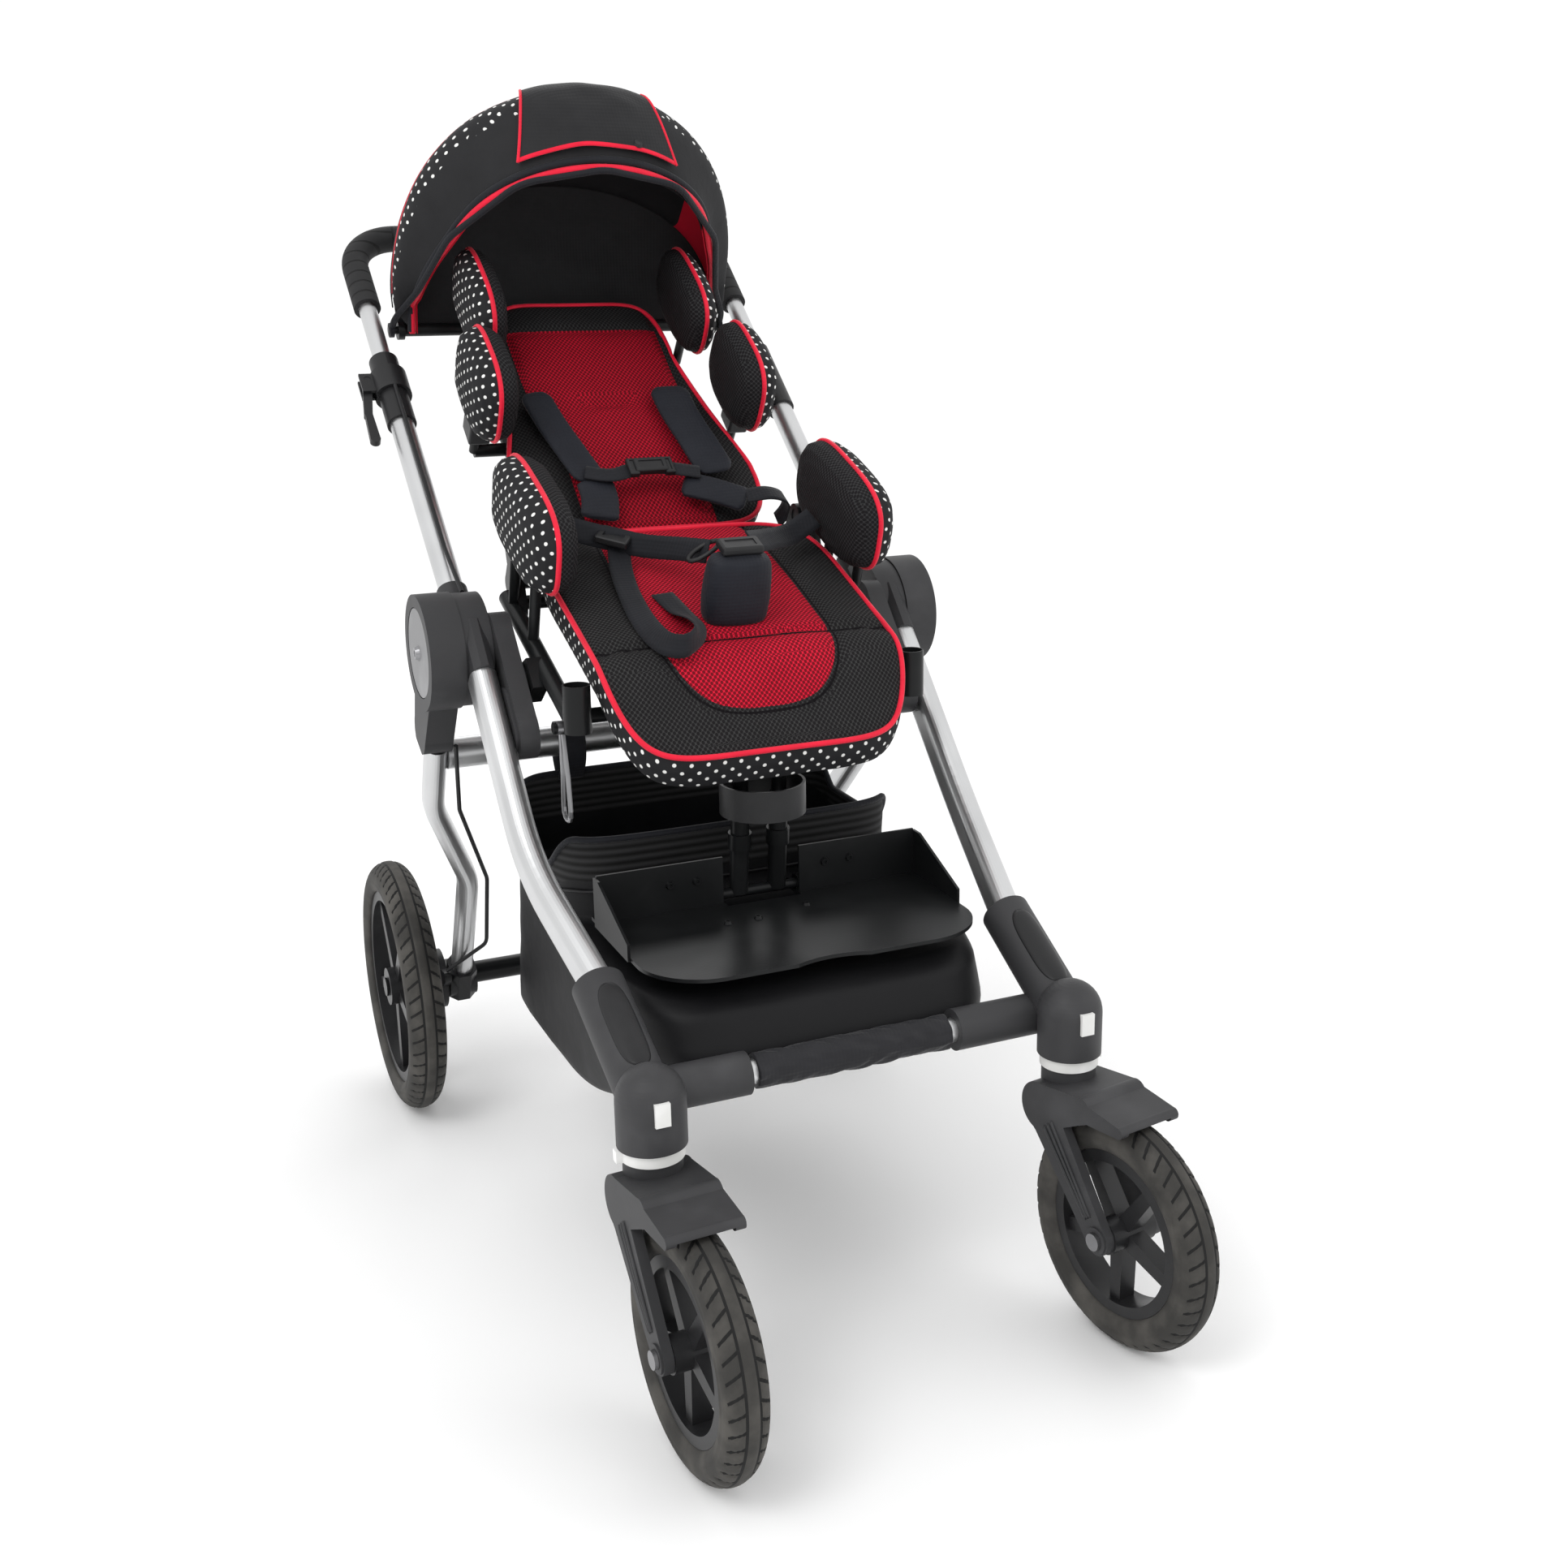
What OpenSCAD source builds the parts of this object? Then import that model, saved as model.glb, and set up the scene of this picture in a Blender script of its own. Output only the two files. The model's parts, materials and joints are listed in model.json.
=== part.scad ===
// Special needs buggy: a folding base on four wheels with a tilting, reclining seat unit.
// Millimetres. Z is up with the floor at 0, the front faces -Y, and left is the rider's left (+X).

/* [Wheels] */
// Radius of a front wheel over its tyre
front_wheel_r = 124; // [118:1:128]
// Width of a front tyre
front_tyre_w = 44; // [40:1:46]
// Radius of a rear wheel over its tyre
rear_wheel_r = 160; // [152:1:166]
// Width of a rear tyre
rear_tyre_w = 46; // [40:1:46]
// Depth of a tyre between tread and rim
tyre_depth = 37; // [34:1:39]
// Number of spokes in a wheel
spoke_count = 5; // [3:1:7]
// Radius of a front wheel bolt
wheel_bolt_r = 6; // [5:0.5:7]
// Radius of a rear stub axle
stub_r = 8; // [7:0.5:9]
// Distance of a rear wheel from the middle
rear_wheel_x = 296; // [293:1:302]
// Place of the rear axle along the length
rear_axle_y = 356; // [350:1:362]

/* [Casters] */
// Distance of a caster stem from the middle
stem_x = 223; // [219:1:227]
// Place of the caster stems along the length
stem_y = -430; // [-436:1:-424]
// Distance from the stem forward to the wheel axle
caster_trail = 91; // [86:1:95]
// Radius of the swivel pin
stem_pin_r = 9; // [8:0.5:10]
// Turn of the left caster at rest
left_caster_yaw = 9.8; // [0:0.2:12]
// Turn of the right caster at rest
right_caster_yaw = 3.2; // [0:0.2:12]
// Thickness of a fork arm
fork_arm_t = 10; // [8:1:12]
// Height of the underside of the front knuckles
knuckle_z = 286.4; // [284:0.2:290]
// Radius of a knuckle's stem housing
housing_r = 33; // [31:1:35]

/* [Base frame] */
// Place of the fold hubs along the length
hub_y = 84; // [80:1:88]
// Height of the fold hubs
hub_z = 650; // [645:1:655]
// Radius of a fold hub
hub_r = 62; // [58:1:66]
// Radius of a fold hub's pin
hub_pin_r = 10; // [8:0.5:12]
// Distance of a front leg from the middle
leg_x = 249; // [246:1:250]
// Width of a front leg's oval tube
leg_w = 28; // [26:1:29]
// Height of a front leg's oval tube
leg_h = 42; // [38:1:44]
// Distance of a rear leg's upper part from the middle
rear_leg_x = 276; // [275:1:278]
// Distance of a rear leg's lower part from the middle
rear_leg_in_x = 228; // [225:1:231]
// Width of a rear leg's oval tube
rear_leg_w = 24; // [22:1:26]
// Depth of a rear leg's oval tube
rear_leg_h = 34; // [30:1:36]
// Radius of the rear cross tube
cross_tube_r = 18; // [16:0.5:19]
// Radius of the front cross tube
front_tube_r = 12.5; // [11:0.5:14]
// Radius of the fabric sleeve on the front cross tube
sleeve_r = 17; // [16:0.5:19]
// Radius of the rear axle tube
axle_r = 14; // [12:0.5:15]
// Radius of a brake drum
drum_r = 38; // [34:1:42]
// Radius of the brake cable
cable_r = 2.5; // [2:0.25:3]

/* [Push handle] */
// Distance of a handle tube from the middle
handle_x = 245; // [244:0.5:246]
// Rise of the handle above level
handle_rise = 38.5; // [37.5:0.5:39.5]
// Radius of a lower handle tube
handle_tube_r = 14; // [13:0.5:14]
// Radius of the telescoping upper bar
handle_bar_r = 11; // [10:0.5:11.5]
// Radius of the grip
grip_r = 16.5; // [15:0.5:17]
// Distance from the hub to the cross part of the handle
handle_reach = 696; // [690:1:705]

/* [Seat] */
// Height of the tilt pivot
tilt_z = 625; // [623:1:627]
// Slope of the seat, down to the front
seat_pitch = 20; // [19:0.5:21]
// Half the width of the seat cushion
seat_half_w = 172; // [166:1:174]
// Thickness of the seat cushion
seat_thick = 44; // [40:1:46]
// Radius of the seat frame's side tubes
seat_tube_r = 10; // [9:0.5:11]
// Bore of an accessory receiver, as a radius
receiver_bore_r = 12.5; // [11:0.5:13]
// Thickness of a hip pad
hip_pad_w = 60; // [56:1:64]
// Half the width of the footplate
footplate_half_w = 183; // [176:1:186]
// Depth of the footplate
footplate_depth = 218; // [205:1:225]
// Radius of a footrest rod
foot_rod_r = 8; // [7:0.5:8.5]

/* [Back and hood] */
// Rise of the back above level
back_rise = 38.5; // [38:0.5:39.5]
// Length of the back cushion
back_len = 405; // [395:1:410]
// Thickness of the back cushion
back_thick = 42; // [38:1:44]
// Radius of the back frame's uprights
back_tube_r = 9; // [8:0.5:10]
// Half the width of the hood
hood_half_w = 219; // [215:1:221]
// Reach of the hood's front bow from its pivots
hood_reach = 284; // [275:1:290]

/* [Hidden] */
$fn = 48;
run_gap = 0.06;
seat_gap = 0.3;
pad_sides = 32;

// Wheels
front_rim_r = front_wheel_r - tyre_depth;
rear_rim_r = rear_wheel_r - tyre_depth;
fork_in = front_tyre_w / 2 + 6;
fork_out = fork_in + fork_arm_t;
ring_t = 12;
neck_top = knuckle_z - ring_t - 2 * seat_gap;
stub_end = rear_wheel_x + 20;
axle_end = rear_wheel_x - 23;

// Base frame
leg_top = [leg_x, hub_y - 70, hub_z - 18];
leg_bend = [leg_x, -146, 465];
leg_end = [stem_x + 3, stem_y + 141, 388];
branch_y = stem_y + 45;
branch_z = 313;
branch_end = 112;
hub_in = handle_x - 13;
hub_out = hub_in + 30;
drum_in = hub_out + 0.4;
drum_out = drum_in + 38;
leg_dir = [0, 172, -340];
rear_top = [rear_leg_x, hub_y + 62, hub_z - 122];
rear_knee = [rear_leg_x, hub_y + 104, hub_z - 205];
rear_ankle = [rear_leg_in_x, hub_y + 162, hub_z - 320];
rear_end = [rear_leg_in_x, rear_axle_y - 38, rear_wheel_r + 28];
cross_y = hub_y + 69;
cross_z = hub_z - 135;

// Push handle, as distances from the hub along the handle
boss_end = 85;
lower_end = 455;
sleeve_start = 352;
sleeve_end = 462;
bar_start = handle_reach - 396;
grip_start = handle_reach - 136;
clamp_at = 400;
lever_at = 425;
handle_dir = [0, cos(handle_rise), sin(handle_rise)];

// Seat
seat_y = -53;
seat_z = 700;
pan_t = 8;
pan_drop = 2.2;
frame_w = -seat_thick - pan_drop - pan_t - seat_gap - seat_tube_r;
frame_back = 150;
frame_front = -85;
seat_tube_x = 189;
tongue_in = 192;
dock_in = 211;
tongue_out = dock_in - 0.4;
tilt_pin_r = 8;
receiver_y = -134;
receiver_top = 650;
receiver_bottom = 600;
hip_x = 181;
hip_mid = 104;
hip_half_h = 52;
hip_half_l = 100;
hip_up = 8;
hip_post_up = 9.6;
foot_x = 22;
foot_y = -141;
foot_z = 404;
foot_lean = 6;
foot_rod_len = 168;
foot_tube_r = foot_rod_r + 2.2;
hinge_rod_r = 6;
plate_t = 4;

// Back, in its own frame: x across, -y to the front, z up the back
recline_y = 125;
recline_z = 765;
recline_pin_r = 8;
back_front = 28.7;
frame_y = 80;
ear_in = 176;
ear_out = 186;
upright_x = 120;
thorax_x = 165;
thorax_z = 215;
thorax_y = -28;
wing_x = 137;
wing_z = 362;
wing_y = -16;
hood_z = 434;
hood_y = 80;
hood_pin_r = 5;
bow_r = 4;
bow_angle = 139;

// Small helpers
function unit(v) = v / norm(v);
function smooth(t) = let (c = min(max(t, 0), 1)) c * c * (3 - 2 * c);
function frame(o, along, up) =
    let (
        ex = unit(along),
        ez = unit(up - (up * ex) * ex),
        ey = cross(ez, ex)
    )
    [
        [ex[0], ey[0], ez[0], o[0]],
        [ex[1], ey[1], ez[1], o[1]],
        [ex[2], ey[2], ez[2], o[2]],
        [0, 0, 0, 1]
    ];
function corner_normal(p, i) = cross(p[i] - p[i - 1], p[i + 1] - p[i]);
function setback(p, i, r) = r * tan(acos(unit(p[i] - p[i - 1]) * unit(p[i + 1] - p[i])) / 2);
function on_handle(d, side) = [side * handle_x, hub_y + d * handle_dir[1], hub_z + d * handle_dir[2]];

function handle_front(d, off) = on_handle(d, -1) + off * [0, -handle_dir[2], handle_dir[1]];

module on_side(side) {
    if (side < 0) mirror([1, 0, 0]) children();
    else children();
}

// A rod along X, centred at a place in Y and Z, between two values of X
module rod_x(x0, x1, y, z, r) translate([x0, y, z]) rotate([0, 90, 0]) cylinder(r = r, h = x1 - x0);

// A profile in Y and Z drawn out along X
module slab_x(x0, x1) translate([x0, 0, 0]) rotate([90, 0, 90]) linear_extrude(x1 - x0) children();

// An oblong with its corners cut
module chamfered(a, b, cut) polygon([
    [-a / 2, cut - b / 2], [cut - a / 2, -b / 2], [a / 2 - cut, -b / 2], [a / 2, cut - b / 2],
    [a / 2, b / 2 - cut], [a / 2 - cut, b / 2], [cut - a / 2, b / 2], [-a / 2, b / 2 - cut]
]);

// A flat bar with round ends of two radii
module link(p, rp, q, rq) {
    d = norm(q - p);
    lean = asin((rp - rq) / d);
    turn = atan2(q[1] - p[1], q[0] - p[0]);
    translate(p) rotate(turn) {
        circle(rp);
        translate([d, 0]) circle(rq);
        polygon([
            rp * [sin(lean), 0.97 * cos(lean)], rp * [sin(lean), -0.97 * cos(lean)],
            [d, 0] + rq * [sin(lean), -0.97 * cos(lean)], [d, 0] + rq * [sin(lean), 0.97 * cos(lean)]
        ]);
    }
}

module run(a, b, up) multmatrix(frame(a, b - a, up)) rotate([90, 0, 90])
    linear_extrude(norm(b - a)) children();

module elbow(p, i, r) {
    d = p[i] - p[i - 1];
    turn = acos(unit(d) * unit(p[i + 1] - p[i]));
    multmatrix(frame(p[i] - setback(p, i, r) * unit(d), d, corner_normal(p, i)))
        translate([0, r, 0]) rotate(-90) rotate_extrude(angle = turn)
            translate([r, 0]) scale(0.99) children();
}

// A tube along straight stretches joined by arcs of one radius
module pipe(p, r) {
    last = len(p) - 1;
    for (i = [0:last - 1]) {
        d = unit(p[i + 1] - p[i]);
        from = i == 0 ? p[0] : p[i] + setback(p, i, r) * d;
        to = i + 1 == last ? p[last] : p[i + 1] - setback(p, i + 1, r) * d;
        lap = 0.5 * d;
        run(i == 0 ? from : from - lap, i + 1 == last ? to : to + lap, corner_normal(p, i == 0 ? 1 : i))
            children();
    }
    for (i = [1:last - 1]) elbow(p, i, r) children();
}

module rod(a, b, r) run(a, b, [1, 0.01, 0.02]) circle(r);

// The points of a route whose corners are rounded by arcs of one radius
function arc_points(p, i, r, steps) =
    let (
        d = unit(p[i] - p[i - 1]),
        e = unit(p[i + 1] - p[i]),
        turn = acos(d * e),
        side = unit(e - (e * d) * d),
        start = p[i] - setback(p, i, r) * d
    )
    [for (k = [0:steps]) let (a = turn * k / steps) start + r * (sin(a) * d + (1 - cos(a)) * side)];
function route(p, r, steps) = concat(
    [p[0]],
    [for (i = [1:len(p) - 2]) each arc_points(p, i, r, steps)],
    [p[len(p) - 1]]
);
function round_outline(a, b, n) =
    [for (i = [0:n - 1]) let (t = 360 * (i + 0.5) / n) oval_point(a, b, t)];
function oval_point(a, b, t) =
    let (m = min(a, b) / 2)
    [m * cos(t) + sign(cos(t)) * (a / 2 - m), m * sin(t) + sign(sin(t)) * (b / 2 - m)];

// A bent tube or wire of one outline along a route
module sweep(path, outline, up) {
    n = len(outline);
    last = len(path) - 1;
    points = [
        for (k = [0:last])
            let (m = frame(path[k], path[min(k + 1, last)] - path[max(k - 1, 0)], up))
            for (o = outline) [for (c = [0:2]) m[c][3] + m[c][1] * o[0] + m[c][2] * o[1]]
    ];
    faces = concat(
        [for (k = [0:last - 1]) for (i = [0:n - 1])
            [k * n + i, (k + 1) * n + (i + 1) % n, k * n + (i + 1) % n]],
        [for (k = [0:last - 1]) for (i = [0:n - 1])
            [k * n + i, (k + 1) * n + i, (k + 1) * n + (i + 1) % n]],
        [for (i = [1:n - 2]) [0, i, i + 1]],
        [for (i = [1:n - 2]) [last * n, last * n + i + 1, last * n + i]]
    );
    polyhedron(points, faces, convexity = 4);
}

// A stuffed pad: an outline in plan, rings of [share of the outline, height] from top to bottom
module pillow(outline, rings, bend) {
    n = pad_sides;
    count = len(rings);
    edge = [for (i = [0:n - 1]) outline(360 * i / n)];
    points = concat(
        [for (g = rings) for (e = edge) bend([e[0] * g[0], e[1] * g[0], g[1]])],
        [bend([0, 0, rings[0][1]]), bend([0, 0, rings[count - 1][1]])]
    );
    top = count * n;
    faces = concat(
        [for (i = [0:n - 1]) [top, (i + 1) % n, i]],
        [for (k = [0:count - 2]) for (i = [0:n - 1])
            [k * n + i, k * n + (i + 1) % n, (k + 1) * n + (i + 1) % n]],
        [for (k = [0:count - 2]) for (i = [0:n - 1])
            [k * n + i, (k + 1) * n + (i + 1) % n, (k + 1) * n + i]],
        [for (i = [0:n - 1]) [top + 1, (count - 1) * n + i, (count - 1) * n + (i + 1) % n]]
    );
    polyhedron(points, faces, convexity = 4);
}

function power(v, e) = sign(v) * pow(abs(v), e);

// A rounded rectangle whose sides draw in between its corners
function plan(a, hw, hl, square_e, pull) =
    let (x = hw * power(cos(a), 2 / square_e), y = hl * power(sin(a), 2 / square_e))
    [x * (1 - pull * (1 - pow(y / hl, 2))), y * (1 - pull * (1 - pow(x / hw, 2)))];

// Rings of a crowned pad with a boxed edge
function crowned(crown, t) = [
    [0.3, 0.94 * crown], [0.55, 0.78 * crown], [0.78, 0.48 * crown], [0.93, 0.14 * crown], [1, -0.08 * t],
    [1.005, -0.5 * t], [0.99, -0.9 * t], [0.95, -t], [0.7, -t], [0.36, -t]
];

// Rings of a pad that swells to both faces
function swollen(t) = [
    [0.35, 0.49 * t], [0.65, 0.45 * t], [0.86, 0.36 * t], [0.965, 0.22 * t], [1, 0],
    [0.965, -0.22 * t], [0.86, -0.36 * t], [0.65, -0.45 * t], [0.35, -0.49 * t]
];

// Frames of the seat and the back
module on_seat() translate([0, seat_y, seat_z]) rotate([seat_pitch, 0, 0]) children();
module on_back() translate([0, recline_y, recline_z]) rotate([back_rise - 90, 0, 0]) children();
function seat_point(x, v, w) = [
    x,
    seat_y + v * cos(seat_pitch) - w * sin(seat_pitch),
    seat_z + v * sin(seat_pitch) + w * cos(seat_pitch)
];

// Base frame
module front_leg(side) color("silver") on_side(side)
    sweep(route([leg_top, leg_bend, leg_end], 330, 8), round_outline(leg_h, leg_w, 32), [1, 0, 0]);

module knuckle(side) color([0.2, 0.2, 0.2]) on_side(side) difference() {
    union() {
        rod(leg_end, [stem_x, stem_y + 8, 322], 26);
        translate([stem_x, stem_y, knuckle_z]) rotate_extrude() polygon(concat(
            [[0, 0], [housing_r, 0]],
            [for (i = [0:10]) [housing_r * cos(8.4 * i), 44 + housing_r * sin(8.4 * i)]],
            [[0, 44 + housing_r * sin(84)]]
        ));
        rod_x(branch_end, stem_x - 6, branch_y, branch_z, front_tube_r + 9);
    }
    translate([stem_x, stem_y, knuckle_z - 1]) cylinder(r = stem_pin_r + run_gap, h = 36);
    translate([stem_x - 7.5, stem_y - housing_r - 4, knuckle_z + 30]) cube([15, 20, 23]);
    rod_x(branch_end - 1, branch_end + 30, branch_y, branch_z, front_tube_r + run_gap);
}

module front_cross_tube() color("silver")
    rod_x(-branch_end - 28, branch_end + 28, branch_y, branch_z, front_tube_r);

module cross_tube_sleeve() color([0.1, 0.1, 0.11]) translate([0, branch_y, branch_z]) rotate([0, 90, 0])
    rotate_extrude() difference() {
        translate([0, -104]) square([sleeve_r, 208]);
        translate([0, -105]) square([front_tube_r + seat_gap, 210]);
        for (i = [0:7]) translate([sleeve_r + 3.4, -91 + 26 * i]) circle(5);
    }

hub_neck = [leg_x, hub_y - 30, hub_z - 3];
module fold_hub(side) color([0.22, 0.22, 0.22]) on_side(side) difference() {
    union() {
        rod_x(hub_in, hub_out, hub_y, hub_z, hub_r);
        run(hub_neck, leg_top + 0.31 * (hub_neck - leg_top), [1, 0, 0]) chamfered(50, leg_w - 4, 8);
        run(leg_top - 60 * unit(leg_bend - leg_top), leg_top, [1, 0, 0]) chamfered(leg_h + 9, leg_w - 6, 7);
        rod(on_handle(20, 1), on_handle(boss_end, 1), handle_tube_r + 3);
    }
    rod_x(hub_in - 1, hub_out + 40, hub_y, hub_z, hub_pin_r + run_gap);
    rod_x(hub_out, hub_out + 40, hub_y, hub_z, hub_r + 60);
}

module dock_profile(from, r) {
    along = unit([leg_bend[1] - leg_top[1], leg_bend[2] - leg_top[2]]);
    link([0, tilt_z] + from * along, r, [0, tilt_z] + 62 * along, r);
}

module seat_docks() color([0.16, 0.16, 0.16]) for (side = [-1, 1]) on_side(side) difference() {
    union() {
        slab_x(dock_in, hub_in - 0.4) dock_profile(-62, 26);
        slab_x(dock_in + 2, leg_x - leg_w / 2 - 0.2) dock_profile(24, 18);
    }
    rod_x(dock_in - 1, dock_in + 16, 0, tilt_z, tilt_pin_r + run_gap);
    for (s = [-1, 1]) translate([dock_in, s * 40, tilt_z + s * 41]) rotate([46, 0, 0])
        cube([20, 34, 18], center = true);
}

module handle_tubes() color("silver") for (side = [-1, 1])
    run(on_handle(boss_end, side), on_handle(lower_end, side), [1, 0, 0]) difference() {
        circle(handle_tube_r);
        circle(handle_bar_r + run_gap);
    }

module handle_sleeves() color([0.12, 0.12, 0.12]) for (side = [-1, 1]) {
    run(on_handle(sleeve_start, side), on_handle(lower_end, side), [1, 0, 0]) difference() {
        circle(handle_tube_r + 3.4);
        circle(handle_tube_r + run_gap);
    }
    run(on_handle(lower_end, side), on_handle(sleeve_end, side), [1, 0, 0]) difference() {
        circle(handle_tube_r + 3.4);
        circle(handle_bar_r + run_gap);
    }
}

// The clamp's frame: X outwards from the right handle tube, Z up the handle
module on_clamp() multmatrix(frame(on_handle(clamp_at, -1), [-1, 0, 0], handle_dir)) children();

module brake_clamp() color([0.1, 0.1, 0.1]) on_clamp() difference() {
    union() {
        cylinder(r = handle_tube_r + 8, h = 36);
        translate([0, -8, 4]) cube([36, 16, 30]);
    }
    translate([0, 0, -1]) cylinder(r = handle_tube_r + 3.4 + run_gap, h = 38);
    translate([0, -60, -10]) cube([3, 60 - handle_tube_r - 30, 60]);
    translate([27, 0, 25]) rotate([90, 0, 0]) cylinder(r = 4 + run_gap, h = 20, center = true);
    translate([20, -4.4, -2]) cube([30, 8.8, 50]);
}

module brake_lever() color([0.1, 0.1, 0.1]) on_clamp() rotate([90, 0, 0]) {
    linear_extrude(8, center = true) {
        link([27, 25], 6, [36, -30], 5);
        link([35.6, -29], 4.4, [36, -72], 6);
    }
    translate([27, 25, 0]) cylinder(r = 4, h = 15, center = true);
}

module cable_run(points, r) color([0.05, 0.05, 0.05])
    sweep(route(points, r, 3), round_outline(2 * cable_r, 2 * cable_r, 8), [1, 0.3, 0.2]);

module brake_cable() cable_run([
    handle_front(clamp_at - 0.6, 20.4), handle_front(260, 21), handle_front(130, 22),
    [-handle_x, hub_y + (hub_r + 0.5) * cos(75), hub_z + (hub_r + 0.5) * sin(75)]
], 40);

module basket() color([0.08, 0.08, 0.09]) {
    front = branch_y + front_tube_r + 9.4;
    wall = 4;
    half = 199;
    difference() {
        slab_x(-half, half) polygon([
            [cross_y - 4, 478], [205, 200], [-150, 188], [front + 4, 284], [front, 318],
            [front + 38, 372], [-92, 376], [-92, 455]
        ]);
        slab_x(-half + wall, half - wall) polygon([
            [cross_y - 8, 520], [200, 206], [-149, 193], [front + 9, 287], [front + 5, 317],
            [front + 40, 367], [-88, 371.7], [-88, 520]
        ]);
        slab_x(-half - 1, half + 1) polygon([[-60, 480], [0, 425], [90, 430], [130, 480]]);
    }
}

// Rear frame
module rear_leg(side) color("silver") on_side(side)
    sweep(
        route([rear_top, rear_knee, rear_ankle, rear_end], 90, 5),
        round_outline(rear_leg_h, rear_leg_w, 28),
        [1, 0, 0]
    );

module rear_cross_tube() color("silver") {
    reach = rear_leg_x - rear_leg_w / 2 - 0.2;
    rod_x(-reach, reach, cross_y, cross_z, cross_tube_r);
}

module rear_axle() color([0.12, 0.12, 0.12]) {
    rod_x(-axle_end, axle_end, rear_axle_y, rear_wheel_r, axle_r);
    rod_x(-stub_end - 0.3, stub_end + 0.3, rear_axle_y, rear_wheel_r, stub_r);
    for (side = [-1, 1]) on_side(side)
        rod_x(stub_end + 0.3, stub_end + 3, rear_axle_y, rear_wheel_r, stub_r + 4);
}

module axle_brackets() color([0.14, 0.14, 0.14]) for (side = [-1, 1]) on_side(side) difference() {
    union() {
        run(rear_end, rear_end + 44 * unit(leg_dir), [1, 0, 0]) chamfered(rear_leg_h + 8, rear_leg_w + 9, 9);
        slab_x(rear_leg_in_x - 17, rear_leg_in_x + 17)
            link([rear_end[1] + 12, rear_end[2] - 24], 20, [rear_axle_y, rear_wheel_r], axle_r + 9);
    }
    rod_x(rear_leg_in_x - 40, rear_leg_in_x + 40, rear_axle_y, rear_wheel_r, axle_r + run_gap);
}

module hub_drum(side) color([0.25, 0.25, 0.25]) on_side(side) difference() {
    union() {
        rod_x(drum_in, drum_out, hub_y, hub_z, hub_r + 2);
        slab_x(drum_in, drum_out - 6) link([hub_y, hub_z], 44, [rear_top[1] - 8, rear_top[2] + 20], 26);
        rod_x(hub_in, drum_in, hub_y, hub_z, hub_pin_r);
    }
    rod_x(drum_out - 4, drum_out + 1, hub_y, hub_z, hub_r - 12);
    translate([0, rear_top[1], rear_top[2]]) rotate([26.8, 0, 0])
        translate([0, -80, -80]) cube([400, 160, 80]);
    rod_x(drum_in - 1, rear_leg_x - rear_leg_w / 2 + 0.1, cross_y, cross_z, cross_tube_r + 0.3);
}

module hub_caps() color([0.72, 0.73, 0.74]) for (side = [-1, 1]) on_side(side)
    rod_x(drum_out - 3.8, drum_out - 0.5, hub_y, hub_z, hub_r - 13);

module brake_drums() color([0.15, 0.15, 0.15]) for (side = [-1, 1]) on_side(side) difference() {
    union() {
        rod_x(rear_leg_in_x + 18, axle_end, rear_axle_y, rear_wheel_r, drum_r);
        slab_x(rear_leg_in_x + 18, rear_leg_in_x + 26)
            link([rear_axle_y, rear_wheel_r], 20, [rear_axle_y - 52, rear_wheel_r + 20], 7);
    }
    rod_x(rear_leg_in_x, axle_end + 1, rear_axle_y, rear_wheel_r, axle_r + run_gap);
}

module rear_cable() cable_run([
    [-rear_leg_x + 14, rear_top[1] - 40, rear_top[2] + 8],
    [-rear_leg_x + 24, rear_knee[1] - 32, rear_knee[2]],
    [-rear_leg_in_x + 20, rear_ankle[1] - 14, rear_ankle[2]],
    [-rear_leg_in_x + 20, rear_end[1] - 60, rear_end[2] + 48],
    [-rear_leg_in_x - 22, rear_axle_y - 52, rear_wheel_r + 29]
], 20);

// Wheels
module tyre(r, w) color([0.13, 0.12, 0.12]) rotate([0, 90, 0]) rotate_extrude($fn = 96) difference() {
    translate([r - w / 2, 0]) circle(d = w);
    translate([0, -w]) square([r - tyre_depth, 2 * w]);
}

module rim(rim_r, hub, hub_w, bore) color([0.09, 0.09, 0.1]) rotate([0, 90, 0]) difference() {
    union() {
        difference() {
            cylinder(r = rim_r - 0.1, h = 32, center = true);
            cylinder(r = rim_r - 12, h = 40, center = true);
        }
        cylinder(r = hub, h = hub_w, center = true);
        for (i = [0:spoke_count - 1]) rotate(360 * i / spoke_count) linear_extrude(20, center = true)
            polygon([[hub - 6, -9], [rim_r - 10, -7], [rim_r - 10, 7], [hub - 6, 9]]);
    }
    cylinder(r = bore + run_gap, h = hub_w + 2, center = true);
}

module at_rear_wheel(side) translate([side * rear_wheel_x, rear_axle_y, rear_wheel_r]) children();
module rear_tyre(side) at_rear_wheel(side) tyre(rear_wheel_r, rear_tyre_w);
module rear_rim(side) at_rear_wheel(side) rim(rear_rim_r, 24, 39, stub_r);

// Casters, each in the frame of its stem
module at_caster(side) translate([side * stem_x, stem_y, 0])
    rotate(side > 0 ? left_caster_yaw : right_caster_yaw) children();
module at_front_wheel(side) at_caster(side) translate([0, -caster_trail, front_wheel_r]) children();
module front_tyre(side) at_front_wheel(side) tyre(front_wheel_r, front_tyre_w);
module front_rim(side) at_front_wheel(side)
    rim(front_rim_r, 18, 2 * fork_in - 1, wheel_bolt_r);

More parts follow.
